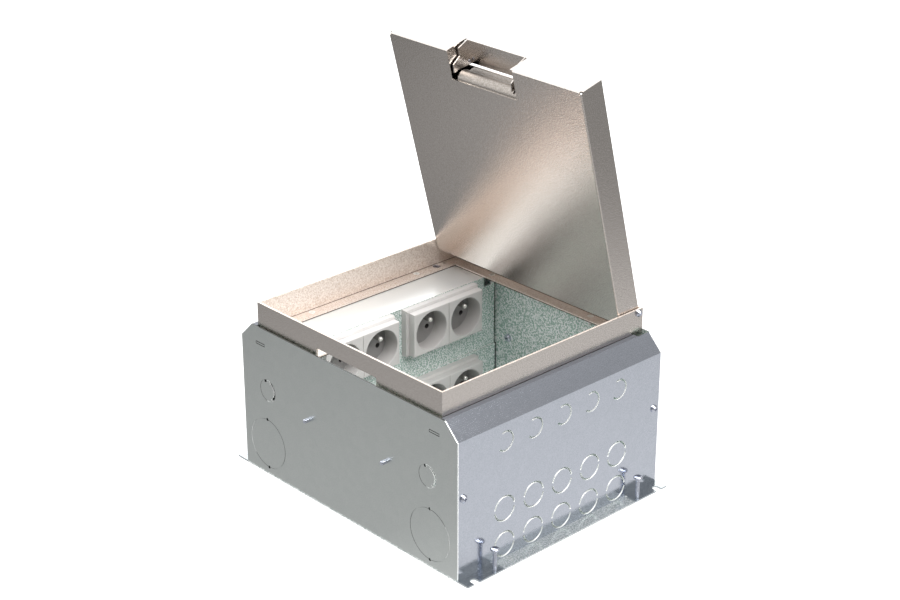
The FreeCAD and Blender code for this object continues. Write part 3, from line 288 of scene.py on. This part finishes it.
# Stainless sheet: cold rolled, warm grey, satin, its grain seen where reflections change
stainless = {
    "light": "#d1cbc6",
    "dark": "#c3bcb6",
    "grainMm": 1.3,
    "grainBand": (0.36, 0.66),
    "roughness": 0.105,
    "bump": 0.44,
    "innerLight": "#fdf2e9",   # faces that look into the frame, paler as painted light
    "innerDark": "#d3c2b6",
    "innerMetallic": 0.38,
    "innerRoughness": 0.25,
    "upShare": 0.95,           # how much of that painted-light look the faces that look up have
    "bendShade": "#4f433a",     # painted shade along the bend and the flange's cut edge
    "bendReachMm": 2.55,       # height of the flange and its bend
    # where the painted shade lies, as shares of that height
    "bendStops": ((0.0, 1.0), (0.30, 1.0), (0.34, 0.0), (0.76, 0.0), (0.80, 1.0), (0.97, 1.0),
                  (1.0, 0.0)),
}
# the trough's sheet: the same steel, duller, painted darker as shade
shadedTroughSteel = {"light": "#aaa49e", "dark": "#857f79", "roughness": 0.36}


def bendShadeMask(tree, coords, facing):
    # painted shade: a line along the frame's bend and another along the cut edge of its flange
    place = addNode(tree, "ShaderNodeSeparateXYZ", links={"Vector": coords.outputs["Object"]})
    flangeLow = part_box("frame")[0][2]
    rise = addNode(tree, "ShaderNodeMapRange",
                   {"From Min": flangeLow, "From Max": flangeLow + stainless["bendReachMm"] * mm},
                   {"Value": place.outputs["Z"]})
    low = addNode(tree, "ShaderNodeValToRGB", {"stops": stainless["bendStops"]},
                  {"Fac": rise.outputs["Result"]})
    upright = addNode(tree, "ShaderNodeMath",
                      {"operation": "LESS_THAN", 1: facingLimit["broad"]},
                      {0: facing.outputs["Z"]})
    return addNode(tree, "ShaderNodeMath", {"operation": "MULTIPLY"},
                   {0: low.outputs["Color"], 1: upright.outputs["Value"]})


def makeStainless(name, innerFaces=False, tone=stainless):
    material, tree, output, coords = startMaterial(name)
    grain = addNode(tree, "ShaderNodeTexNoise",
                    {"Scale": 1000 / stainless["grainMm"], "Detail": 2.0, "Roughness": 0.65},
                    {"Vector": coords.outputs["Object"]})
    height = addNode(tree, "ShaderNodeBump", {"Strength": stainless["bump"], "Distance": 0.0005},
                     {"Height": grain.outputs["Fac"]})
    low, high = stainless["grainBand"]
    ramp = addNode(tree, "ShaderNodeValToRGB",
                   {"stops": [(low, toLinear(tone["dark"])), (high, toLinear(tone["light"]))]},
                   {"Fac": grain.outputs["Fac"]})
    outer = addNode(tree, "ShaderNodeBsdfPrincipled",
                    {"Metallic": 1.0, "Roughness": tone["roughness"]},
                    {"Base Color": ramp.outputs["Color"], "Normal": height.outputs["Normal"]})
    if not innerFaces:
        tree.links.new(outer.outputs["BSDF"], output.inputs["Surface"])
        return material
    innerRamp = addNode(tree, "ShaderNodeValToRGB",
                        {"stops": [(low, toLinear(stainless["innerDark"])),
                                   (high, toLinear(stainless["innerLight"]))]},
                        {"Fac": grain.outputs["Fac"]})
    facing = addNode(tree, "ShaderNodeSeparateXYZ", links={"Vector": coords.outputs["Normal"]})
    bendShaded = bendShadeMask(tree, coords, facing)
    lined = addNode(tree, "ShaderNodeMixRGB", {"Color2": toLinear(stainless["bendShade"])},
                    {"Fac": bendShaded.outputs["Value"], "Color1": innerRamp.outputs["Color"]})
    inner = addNode(tree, "ShaderNodeBsdfPrincipled",
                    {"Metallic": stainless["innerMetallic"],
                     "Roughness": stainless["innerRoughness"]},
                    {"Base Color": lined.outputs["Color"], "Normal": height.outputs["Normal"]})
    inward = addInward(tree, coords)
    up = addNode(tree, "ShaderNodeMath", {"operation": "GREATER_THAN", 1: facingLimit["up"]},
                 {0: facing.outputs["Z"]})
    inside = addNode(tree, "ShaderNodeMath",
                     {"operation": "MULTIPLY_ADD", 1: stainless["upShare"]},
                     {0: up.outputs["Value"], 2: inward.outputs["Value"]})
    both = addNode(tree, "ShaderNodeMixShader", links={
        0: inside.outputs["Value"], 1: outer.outputs["BSDF"], 2: inner.outputs["BSDF"]})
    tree.links.new(both.outputs["Shader"], output.inputs["Surface"])
    return material


platings = {
    # Zinc-plated steel: bright plating on turned and pressed fasteners, bluish, glossy
    "zincPlatedSteel": {"light": "#d4d7e1", "dark": "#b0b4c1", "grainMm": 0.6,
                        "roughness": 0.16, "metallic": 1.0},
    # the same plating on the frame's screw heads, dull, painted white as highlight
    "highlitZincPlate": {"light": "#fafaf7", "dark": "#dededa", "grainMm": 0.6,
                        "roughness": 0.36, "metallic": 0.40},
    # Galvanised returns: folded from the side walls, dull, painted dark as the frame's shade
    "galvanisedReturn": {"light": "#7c7f87", "dark": "#6c6f76", "grainMm": 1.1,
                         "roughness": 0.42, "metallic": 0.60},
    # Nickel-plated brass: the turned earth pins, their domed ends painted white as highlight
    "nickelPlatedBrass": {"light": "#f6f4ef", "dark": "#dcd9d2", "grainMm": 0.4,
                          "roughness": 0.24, "metallic": 0.45},
    # the same plating on their shanks, painted darker as shade
    "shadedNickelPlate": {"light": "#9d9b97", "dark": "#84827e", "grainMm": 0.4,
                          "roughness": 0.30, "metallic": 0.60},
}
platingWear = {"band": (0.3, 0.7), "smoothest": 0.8, "roughest": 1.3}


def makePlated(name):
    plating = platings[name]
    low, high = platingWear["band"]
    material, tree, output, coords = startMaterial(name)
    grain = addNode(tree, "ShaderNodeTexNoise", {"Scale": 1000 / plating["grainMm"]},
                    {"Vector": coords.outputs["Object"]})
    ramp = addNode(tree, "ShaderNodeValToRGB",
                   {"stops": [(low, toLinear(plating["dark"])), (high, toLinear(plating["light"]))]},
                   {"Fac": grain.outputs["Fac"]})
    wear = addNode(tree, "ShaderNodeMapRange",
                   {"From Min": low, "From Max": high,
                    "To Min": plating["roughness"] * platingWear["smoothest"],
                    "To Max": plating["roughness"] * platingWear["roughest"]},
                   {"Value": grain.outputs["Fac"]})
    shader = addNode(tree, "ShaderNodeBsdfPrincipled", {"Metallic": plating["metallic"]},
                     {"Base Color": ramp.outputs["Color"], "Roughness": wear.outputs["Result"]})
    tree.links.new(shader.outputs["BSDF"], output.inputs["Surface"])
    return material


# Polycarbonate: injection moulded, off-white, semi-gloss, with a faint eroded texture
plastic = {
    "light": "#cfccca",
    "dark": "#c6c3c1",
    "toneBand": (0.3, 0.7),
    # by share of a well's depth: the outlet's own tone, darker with depth and dark inside the contact
    # holes as painted shade
    "outletStops": ((0.0, "#cfccca"), (0.985, "#c6c3c1"), (0.995, "#444342")),
    # the wells' painted shade: greyer, darker with depth, and darkest on their floor
    "wellShadeStops": ((0.0, "#c9c6c4"), (0.94, "#a5a2a0"), (0.96, "#858382")),
    "grainMm": 0.5,
    "cloudMm": 12.0,
    "bump": 0.05,
    "roughness": 0.36,
    "ior": 1.58,
}
well = {                       # millimetres, as in the outlets behind
    "depth": 18.0,
    "pitch": 46.0,
    "holeHalfPitch": 9.5,
    "holeDrop": 4.5,
    "holeRadius": 2.55,
    "pinRise": 10.5,
}


def makePlastic(name, faceX=None, stops=plastic["outletStops"]):
    # faceX: where the outlet's face stands, from which the stops are measured inward
    material, tree, output, coords = startMaterial(name)
    if faceX is None:
        low, high = plastic["toneBand"]
        cloud = addNode(tree, "ShaderNodeTexNoise", {"Scale": 1000 / plastic["cloudMm"]},
                        {"Vector": coords.outputs["Object"]})
        tone = addNode(tree, "ShaderNodeValToRGB",
                       {"stops": [(low, toLinear(plastic["dark"])),
                                  (high, toLinear(plastic["light"]))]},
                       {"Fac": cloud.outputs["Fac"]})
    else:
        place = addNode(tree, "ShaderNodeSeparateXYZ", links={"Vector": coords.outputs["Object"]})
        inward = addNode(tree, "ShaderNodeMapRange",
                         {"From Min": faceX, "From Max": faceX - well["depth"] * mm},
                         {"Value": place.outputs["X"]})
        tone = addNode(tree, "ShaderNodeValToRGB",
                       {"stops": [(share, toLinear(colour)) for share, colour in stops]},
                       {"Fac": inward.outputs["Result"]})
    grain = addNode(tree, "ShaderNodeTexNoise", {"Scale": 1000 / plastic["grainMm"]},
                    {"Vector": coords.outputs["Object"]})
    height = addNode(tree, "ShaderNodeBump", {"Strength": plastic["bump"], "Distance": 0.0001},
                     {"Height": grain.outputs["Fac"]})
    shader = addNode(tree, "ShaderNodeBsdfPrincipled",
                     {"Roughness": plastic["roughness"], "IOR": plastic["ior"]},
                     {"Base Color": tone.outputs["Color"], "Normal": height.outputs["Normal"]})
    tree.links.new(shader.outputs["BSDF"], output.inputs["Surface"])
    return material


# one galvanised sheet in four tones, bluer on the sides and lighter on the panels, as painted light
sideZinc = makeGalvanised("galvanisedSideSheet", "#c7cbd5", "#bdc2cb", 0.13, "sides")
plateZinc = makeGalvanised("galvanisedPlateSheet", "#cfd3d1", "#c6cbc9", 0.30, "plates")
baseZinc = makeGalvanised("galvanisedBaseSheet", "#d0d6d8", "#b9c0c4", 0.16, "floor")
panelZinc = makeGalvanised("galvanisedPanelSheet", "#e2e6e4", "#d3d8d6", 0.20, "panels")
satinSteel = makeStainless("satinStainlessSheet")
softSteel = makeStainless("satinStainlessTrough", tone=shadedTroughSteel)
frameSteel = makeStainless("satinStainlessFrame", innerFaces=True)
brightZinc = makePlated("zincPlatedSteel")
highlitZinc = makePlated("highlitZincPlate")
highlitNickelPin = makePlated("nickelPlatedBrass")
returnZinc = makePlated("galvanisedReturn")
shadedNickelShank = makePlated("shadedNickelPlate")
mouldedPlastic = makePlastic("mouldedPolycarbonate")

fastenerWords = ("screw", "stud", "nut", "adjuster", "hinge_pins", "rivets")
finishes = {
    sideZinc: ("right_side_wall", "left_side_wall"),
    plateZinc: ("front_plate", "back_plate", "right_height_rail", "left_height_rail"),
    baseZinc: ("base_plate",),
    panelZinc: ("lower_socket_panel", "upper_socket_panel"),
    satinSteel: ("lid", "outlet_cover", "flap"),
    softSteel: ("outlet_trough",),
    frameSteel: ("frame",),
    brightZinc: tuple(n for n in nodes if any(word in n for word in fastenerWords)
                      and n != "flange_screws"),
    highlitZinc: ("flange_screws",),
    mouldedPlastic: tuple(n for n in nodes if n.endswith("_bezel")),
    highlitNickelPin: ("upper_earth_pins", "lower_earth_pins"),
}
outletFaces = {row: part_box(row + "_rear_socket")[1][0] for row in ("upper", "lower")}
for row, faceX in outletFaces.items():
    finishes[makePlastic("mouldedPolycarbonate_" + row, faceX)] = tuple(
        n for n in nodes if n.startswith(row) and n.endswith("_socket"))
for material, names in finishes.items():
    for name in names:
        mesh = nodes[name].data
        mesh.materials.clear()
        mesh.materials.append(material)
print("materials set")


# Mesh pieces that the sheet-metal solids don't carry
def linkObject(name, data):
    thing = bpy.data.objects.new(name, data)
    scene.collection.objects.link(thing)
    return thing


def addPiece(name, verts, faces, body, material):
    mesh = bpy.data.meshes.new(name)
    mesh.from_pydata(verts, [], faces)
    mesh.materials.append(material)
    form = bmesh.new()
    form.from_mesh(mesh)
    bmesh.ops.remove_doubles(form, verts=form.verts, dist=1e-6)
    bmesh.ops.recalc_face_normals(form, faces=form.faces)
    form.to_mesh(mesh)
    form.free()
    for face in mesh.polygons:
        face.use_smooth = True
    piece = linkObject(name, mesh)
    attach(piece, body)
    return piece


def ringFaces(first, rings, count):
    # quads between neighbouring rings of count points each
    quads = []
    for ring in range(rings - 1):
        for index in range(count):
            a = first + ring * count + index
            b = first + ring * count + (index + 1) % count
            quads.append((a, b, b + count, a + count))
    return quads


def spin(verts, faces, centre, profile, count):
    # turns (radius, reach along +X) points in metres about the X axis through centre
    first = len(verts)
    for radius, reach in profile:
        for index in range(count):
            angle = 2 * math.pi * index / count
            verts.append((centre[0] + reach, centre[1] + radius * math.cos(angle),
                          centre[2] + radius * math.sin(angle)))
    faces += ringFaces(first, len(profile), count)


def wellCentres(row):
    centres = []
    for end in ("front", "rear"):
        low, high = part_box(f"{row}_{end}_socket")
        middleY, middleZ = (low[1] + high[1]) / 2, (low[2] + high[2]) / 2
        for side in (-1, 1):
            centres.append((high[0], middleY + side * well["pitch"] / 2 * mm, middleZ))
    return centres


# Shade lining of the wells, a thin shell carrying their painted shade: rolled lip, plain wall, floor
# with two contact holes
lining = {
    # radius and reach from the outlet's face, millimetres
    "lip": ((20.55, 0.05), (20.20, 0.00), (19.92, -0.30), (19.80, -0.90)),
    "foot": ((19.70, -16.90), (19.45, -17.35), (19.00, -17.55)),
    "floorRadius": 19.5,
    "thickness": 0.10,
    "holeLip": 0.3,            # the holes' edge is rounded over this width
    "holeDepth": 0.4,
    "points": 56,
    "holePoints": 24,
}


def makeShadeLinings(row, body, material):
    form = bmesh.new()
    for centre in wellCentres(row):
        verts, faces = [], []
        profile = [(r * mm, x * mm) for r, x in lining["lip"] + lining["foot"]]
        spin(verts, faces, centre, profile, lining["points"])
        floorX = centre[0] + lining["foot"][-1][1] * mm
        holeProfile = [((well["holeRadius"] + lining["holeLip"]) * mm, 0),
                       (well["holeRadius"] * mm, -lining["holeDepth"] * mm)]
        for side in (-1, 1):
            hole = (floorX, centre[1] + side * well["holeHalfPitch"] * mm,
                    centre[2] - well["holeDrop"] * mm)
            spin(verts, faces, hole, holeProfile, lining["holePoints"])
        made = [form.verts.new(v) for v in verts]
        for face in faces:
            form.faces.new([made[i] for i in face])
        middle = Vector(centre[1:])
        rims = [edge for edge in form.edges if edge.is_boundary
                and all(abs(v.co.x - floorX) < 1e-7 for v in edge.verts)
                and (edge.verts[0].co.yz - middle).length < lining["floorRadius"] * mm]
        bmesh.ops.triangle_fill(form, edges=rims, use_beauty=True, normal=(1, 0, 0))
    mesh = bpy.data.meshes.new(row + "_well_shade_linings")
    bmesh.ops.recalc_face_normals(form, faces=form.faces)
    form.to_mesh(mesh)
    form.free()
    mesh.materials.append(material)
    for face in mesh.polygons:
        face.use_smooth = abs(face.normal.x) < 0.98     # the floor stays flat
    piece = linkObject(row + "_well_shade_linings", mesh)
    wall = piece.modifiers.new("wall", "SOLIDIFY")
    wall.thickness = lining["thickness"] * mm
    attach(piece, body)


# Earth pins: turned, with a collar on the well's floor and a domed end
earthPin = {
    # radius and reach from the outlet's face, millimetres
    "profile": ((0.0, -17.6), (3.3, -17.6), (3.3, -16.9), (3.0, -16.6), (2.45, -16.5), (2.4, -2.6),
                (2.3, -1.7), (2.0, -1.0), (1.5, -0.55), (0.8, -0.28), (0.0, -0.2)),
    "highlitFrom": 15.4,      # the painted highlight on the end starts this far above the collar's foot
    "points": 20,
}


def makePins(row, body):
    verts, faces = [], []
    profile = [(r * mm, x * mm) for r, x in earthPin["profile"]]
    for centre in wellCentres(row):
        foot = (centre[0], centre[1], centre[2] + well["pinRise"] * mm)
        spin(verts, faces, foot, profile, earthPin["points"])
    # the end takes the white plating as painted highlight, the shank the darker one as painted shade
    piece = addPiece(row + "_domed_pins", verts, faces, body, shadedNickelShank)
    piece.data.materials.append(highlitNickelPin)
    tipX = verts[0][0] + earthPin["highlitFrom"] * mm
    for face in piece.data.polygons:
        face.material_index = int(face.center.x > tipX)
    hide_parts(row + "_earth_pins")


for row, body in (("upper", "frame"), ("lower", "box")):
    # greyer linings over the wells carry their painted shade
    makeShadeLinings(row, body, makePlastic(f"shadedPolycarbonate_{row}", outletFaces[row],
                                       plastic["wellShadeStops"]))
    makePins(row, body)


# Rolled threads: one helical skin over each plain shank
threads = {
    # radii and pitch in millimetres
    "levelling": {"crest": 2.03, "root": 1.72, "pitch": 0.8},
    "stud": {"crest": 2.2, "root": 1.98, "pitch": 0.8},
    "points": 20,
    "ringsPerTurn": 4,         # enough to make the helix
}


def makeThreads(name, runs, cut, body):
    # runs: (start, direction, length) in metres
    verts, faces = [], []
    count = threads["points"]
    pitch = cut["pitch"] * mm
    for start, heading, length in runs:
        start, heading = Vector(start), Vector(heading)
        side = heading.orthogonal().normalized()
        other = heading.cross(side)
        rings = max(3, round(length / pitch * threads["ringsPerTurn"]))
        first = len(verts)
        for ring in range(rings + 1):
            reach = length * ring / rings
            for index in range(count):
                share = index / count
                phase = (reach / pitch - share) % 1.0
                swell = 1 - abs(phase * 2 - 1)
                radius = cut["root"] + (cut["crest"] - cut["root"]) * swell
                if ring in (0, rings):
                    radius = cut["root"]
                angle = 2 * math.pi * share
                verts.append(start + heading * reach
                             + (side * math.cos(angle) + other * math.sin(angle)) * radius * mm)
        faces += ringFaces(first, rings + 1, count)
        faces.append(tuple(range(first, first + count)))
        faces.append(tuple(range(first + rings * count, first + (rings + 1) * count)))
    addPiece(name, verts, faces, body, brightZinc)


# Levelling screws: pan head with a sawn slot above a threaded shank
levelling = {
    # the head: radius and height below the top, millimetres
    "profile": ((3.9, -2.6), (4.2, -2.35), (4.25, -1.5), (4.1, -1.1), (3.6, -0.65), (2.9, -0.28),
                (1.9, -0.05), (1.2, 0.0)),
    "slotWidth": 0.95,
    "slotHalf": 2.3,
    "slotDepth": 1.1,
    "points": 32,
    "threadLift": 0.02,        # the thread starts this far above the screw's end
    "underHead": 2.5,          # and ends this far below its top
    "turn": 30,                # degrees that the slots are turned: all, by side, by end
    "sideTurn": 50,
    "endTurn": 20,
}


def makeScrewHead(name, top, turnDegrees, body, node):
    form = bmesh.new()
    verts, faces = [], []
    profile = [(r * mm, h * mm) for r, h in levelling["profile"]]
    spin(verts, faces, (0, 0, 0), profile, levelling["points"])
    made = [form.verts.new((-z, y, x)) for x, y, z in verts]     # its axis stands up
    for face in faces:
        form.faces.new([made[i] for i in face])
    bmesh.ops.holes_fill(form, edges=form.edges)
    bmesh.ops.recalc_face_normals(form, faces=form.faces)
    headMesh = bpy.data.meshes.new(name)
    form.to_mesh(headMesh)
    form.free()
    head = linkObject(name, headMesh)
    cutForm = bmesh.new()
    cutSize = (levelling["slotHalf"] * 2 * mm, levelling["slotWidth"] * mm,
               levelling["slotDepth"] * 2 * mm, 1)
    bmesh.ops.create_cube(cutForm, size=1, matrix=Matrix.Diagonal(cutSize))
    cutMesh = bpy.data.meshes.new(name + "_slot")
    cutForm.to_mesh(cutMesh)
    cutForm.free()
    cutter = linkObject(name + "_slot", cutMesh)
    slotCut = head.modifiers.new("slot", "BOOLEAN")
    slotCut.object = cutter
    slotCut.operation = "DIFFERENCE"
    slotCut.solver = "EXACT"
    bpy.context.view_layer.update()
    shaped = head.evaluated_get(bpy.context.evaluated_depsgraph_get())
    mesh = bpy.data.meshes.new_from_object(shaped)
    mesh.transform(Matrix.Translation(top) @ Matrix.Rotation(math.radians(turnDegrees), 4, "Z"))
    for unused in (head, cutter):
        bpy.data.objects.remove(unused)
    mesh.materials.clear()
    mesh.materials.append(brightZinc)
    mesh.name = name
    piece = linkObject(name, mesh)
    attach(piece, body)
    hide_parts(node)


for side, sideSign in (("left", -1), ("right", 1)):
    for end, endSign in (("front", -1), ("rear", 1)):
        node = f"levelling_screw_{side}_{end}"
        body = f"leveller_{side}_{end}"
        low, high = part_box(node)
        middleX, middleY = (low[0] + high[0]) / 2, (low[1] + high[1]) / 2
        start = (middleX, middleY, low[2] + levelling["threadLift"] * mm)
        run = (start, (0, 0, 1), high[2] - levelling["underHead"] * mm - start[2])
        makeThreads(f"levelling_thread_{side}_{end}", [run], threads["levelling"], body)
        turn = levelling["turn"] + levelling["sideTurn"] * sideSign + levelling["endTurn"] * endSign
        makeScrewHead(f"levelling_head_{side}_{end}", (middleX, middleY, high[2]), turn, body, node)


# Studs: thread on the ends that stand out of the front and back plates, millimetres
studs = {
    "axisInset": 4.0,          # from the side of the group's box to a stud's axis
    "tipInset": 0.7,
    "threadLength": 5.1,
}
studLow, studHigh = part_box("plate_studs")
studZ = (studLow[2] + studHigh[2]) / 2
studRuns = []
for studX in (studLow[0] + studs["axisInset"] * mm, studHigh[0] - studs["axisInset"] * mm):
    for tipY, heading in ((studLow[1], 1), (studHigh[1], -1)):
        start = (studX, tipY + heading * studs["tipInset"] * mm, studZ)
        studRuns.append((start, (0, heading, 0), studs["threadLength"] * mm))
makeThreads("stud_threads", studRuns, threads["stud"], "box")


# Returns: the side walls' top edges folded inward beside the frame, millimetres
wallReturn = {
    "outer": 134.6,
    "inner": 127.9,
    "top": 153.9,
    "sheet": 1.2,
    "bend": 0.5,
    "front": -129.0,
    "rear": 115.0,
    "taper": 2.0,              # each end narrows over this length
    "endShare": 0.92,
}


def makeReturn(side):
    # profile in x and z, run along y, with its two bends rounded
    outerX, innerX = wallReturn["outer"], wallReturn["inner"]
    top, sheet, bend = wallReturn["top"], wallReturn["sheet"], wallReturn["bend"]
    profile = [(outerX, top - bend * 1.6), (outerX - bend, top - bend * 0.3),
               (outerX - bend * 2, top), (innerX + bend, top), (innerX + bend * 0.3, top - bend * 0.3),
               (innerX, top - bend), (innerX, top - sheet), (outerX - bend, top - sheet)]
    front, rear = wallReturn["front"], wallReturn["rear"]
    taper, endShare = wallReturn["taper"], wallReturn["endShare"]
    stations = ((front, endShare), (front + taper, 1.0), (rear - taper, 1.0), (rear, endShare))
    middleX, middleZ = (innerX + outerX) / 2, top - sheet / 2
    verts = [(side * (middleX + (x - middleX) * share) * mm, y * mm,
              (middleZ + (z - middleZ) * share) * mm)
             for y, share in stations for x, z in profile]
    count = len(profile)
    faces = ringFaces(0, len(stations), count)
    faces.append(tuple(range(count)))
    faces.append(tuple(range(len(verts) - count, len(verts))))
    name = ("right" if side > 0 else "left") + "_wall_return"
    piece = addPiece(name, verts, faces, "box", returnZinc)
    for face in piece.data.polygons:
        face.use_smooth = False


for side in (-1, 1):
    makeReturn(side)
print("pieces made")

# Studio: plain pale floor, soft sky brighter on the left, one soft lamp
studio = {
    "floorSize": 8.0,
    "floorDrop": 0.0004,        # the floor lies this far below the box, in metres
    "floorAlbedo": 0.80,
    "floorFill": 0.38,          # added for the camera only, so the floor reads white
    # floor as metal shows it: (distance from the middle in metres, brightness)
    "glossByReach": ((0.20, 0.92), (0.39, 0.85), (0.58, 0.75), (0.74, 0.56), (0.95, 0.36)),
    # and by side: (-1 front left, 1 right and back, factor)
    "glossBySide": ((-1.0, 0.62), (-0.4, 0.64), (0.1, 0.78), (0.5, 1.0)),
    "sideHeading": (0.8, 0.6, 0),
    "glossLeft": 0.60,          # further factor straight to the left
    "leftHeading": (-0.9, 0.44, 0),
    "leftBand": (0.5, 0.95),    # share of that heading over which the factor comes in
    "skyLow": 0.50,
    "skyHigh": 2.5,
    "skyHeading": (-0.8, 0, 0.6),
    "skyBand": (0.0, 0.8),
}


def makeFloor():
    mesh = bpy.data.meshes.new("studioFloor")
    half = studio["floorSize"] / 2
    mesh.from_pydata([(-half, -half, 0), (half, -half, 0), (half, half, 0), (-half, half, 0)],
                     [], [(0, 1, 2, 3)])
    floor = linkObject("studioFloor", mesh)
    floor.location.z = -studio["floorDrop"]
    material, tree, output, coords = startMaterial("paleStudioFloor")
    path = addNode(tree, "ShaderNodeLightPath")
    albedo = studio["floorAlbedo"]
    diffuse = addNode(tree, "ShaderNodeBsdfDiffuse", {"Color": (albedo, albedo, albedo, 1)})
    fill = addNode(tree, "ShaderNodeEmission", {"Strength": studio["floorFill"]})
    seen = addNode(tree, "ShaderNodeAddShader", links={0: diffuse.outputs[0], 1: fill.outputs[0]})
    reach = addNode(tree, "ShaderNodeVectorMath", {"operation": "LENGTH"},
                    {0: coords.outputs["Object"]})
    byReach = addNode(tree, "ShaderNodeValToRGB", {"stops": studio["glossByReach"]},
                      {"Fac": reach.outputs["Value"]})
    heading = addNode(tree, "ShaderNodeVectorMath", {"operation": "NORMALIZE"},
                      {0: coords.outputs["Object"]})
    side = addNode(tree, "ShaderNodeVectorMath",
                   {"operation": "DOT_PRODUCT", 1: studio["sideHeading"]},
                   {0: heading.outputs["Vector"]})
    share = addNode(tree, "ShaderNodeMapRange", {"From Min": -1.0, "From Max": 1.0},
                    {"Value": side.outputs["Value"]})
    bySide = addNode(tree, "ShaderNodeValToRGB",
                     {"stops": [((s + 1) / 2, factor) for s, factor in studio["glossBySide"]]},
                     {"Fac": share.outputs["Result"]})
    left = addNode(tree, "ShaderNodeVectorMath",
                   {"operation": "DOT_PRODUCT", 1: studio["leftHeading"]},
                   {0: heading.outputs["Vector"]})
    byLeft = addNode(tree, "ShaderNodeMapRange",
                     {"From Min": studio["leftBand"][0], "From Max": studio["leftBand"][1],
                      "To Min": 1.0, "To Max": studio["glossLeft"]},
                     {"Value": left.outputs["Value"]})
    both = addNode(tree, "ShaderNodeMath", {"operation": "MULTIPLY"},
                   {0: byReach.outputs["Color"], 1: bySide.outputs["Color"]})
    level = addNode(tree, "ShaderNodeMath", {"operation": "MULTIPLY"},
                    {0: both.outputs["Value"], 1: byLeft.outputs["Result"]})
    gloss = addNode(tree, "ShaderNodeEmission", links={"Strength": level.outputs["Value"]})
    camera = addNode(tree, "ShaderNodeMixShader", links={
        0: path.outputs["Is Camera Ray"], 1: diffuse.outputs[0], 2: seen.outputs[0]})
    mirror = addNode(tree, "ShaderNodeMath", {"operation": "MAXIMUM"},
                     {0: path.outputs["Is Glossy Ray"], 1: path.outputs["Is Transmission Ray"]})
    final = addNode(tree, "ShaderNodeMixShader", links={
        0: mirror.outputs[0], 1: camera.outputs[0], 2: gloss.outputs[0]})
    tree.links.new(final.outputs[0], output.inputs["Surface"])
    mesh.materials.append(material)


def makeWorld():
    # white to the camera, and a sky for the rest that brightens toward the upper left
    world = bpy.data.worlds.new("studioWorld")
    scene.world = world
    world.use_nodes = True
    tree = world.node_tree
    tree.nodes.clear()
    output = addNode(tree, "ShaderNodeOutputWorld")
    coords = addNode(tree, "ShaderNodeTexCoord")
    slope = addNode(tree, "ShaderNodeVectorMath",
                    {"operation": "DOT_PRODUCT", 1: studio["skyHeading"]},
                    {0: coords.outputs["Generated"]})
    level = addNode(tree, "ShaderNodeMapRange",
                    {"From Min": studio["skyBand"][0], "From Max": studio["skyBand"][1],
                     "To Min": studio["skyLow"], "To Max": studio["skyHigh"]},
                    {"Value": slope.outputs["Value"]})
    sky = addNode(tree, "ShaderNodeBackground", links={"Strength": level.outputs["Result"]})
    white = addNode(tree, "ShaderNodeBackground", {"Color": (1, 1, 1, 1), "Strength": 1.0})
    path = addNode(tree, "ShaderNodeLightPath")
    direct = addNode(tree, "ShaderNodeMath", {"operation": "MAXIMUM"},
                     {0: path.outputs["Is Camera Ray"], 1: path.outputs["Is Transmission Ray"]})
    final = addNode(tree, "ShaderNodeMixShader", links={
        0: direct.outputs["Value"], 1: sky.outputs[0], 2: white.outputs[0]})
    tree.links.new(final.outputs[0], output.inputs["Surface"])


keyLamp = {
    "target": (0, 0, 0.15),
    "heading": (0.60, 0.06, 0.80),      # from the target toward the lamp
    "distance": 2.6,
    "size": 2.2,                        # disc across, metres
    "watts": 88,
}


def addLamp():
    data = bpy.data.lights.new("keyLamp", "AREA")
    data.shape = "DISK"
    data.size = keyLamp["size"]
    data.energy = keyLamp["watts"]
    lamp = linkObject("keyLamp", data)
    target = Vector(keyLamp["target"])
    lamp.location = target + Vector(keyLamp["heading"]).normalized() * keyLamp["distance"]
    lamp.rotation_mode = "QUATERNION"
    lamp.rotation_quaternion = (target - lamp.location).to_track_quat("-Z", "Y")


makeFloor()
makeWorld()
addLamp()
print("studio ready")

# Camera, fitted to the photograph
view = {
    "azimuth": 46.98,
    "elevation": 24.38,
    "distance": 1.86945,
    "target": (-0.01685, 0.01632, 0.17174),
    "focalPx": 1976.48,        # focal length in pixels of a picture this wide
    "pictureWidth": 900,
    "sensorMm": 36.0,
    "clipStart": 0.05,
    "clipEnd": 50.0,
}
cameraData = bpy.data.cameras.new("photoCamera")
cameraData.sensor_width = view["sensorMm"]
cameraData.lens = view["focalPx"] / view["pictureWidth"] * view["sensorMm"]
cameraData.clip_start = view["clipStart"]
cameraData.clip_end = view["clipEnd"]
camera = linkObject("photoCamera", cameraData)
turn = math.radians(view["azimuth"])
rise = math.radians(view["elevation"])
away = Vector((math.sin(turn) * math.cos(rise), -math.cos(turn) * math.cos(rise), math.sin(rise)))
camera.location = Vector(view["target"]) + away * view["distance"]
camera.rotation_mode = "QUATERNION"
camera.rotation_quaternion = (-away).to_track_quat("-Z", "Y")
scene.camera = camera
scene.view_settings.view_transform = "Standard"
print("camera ready")
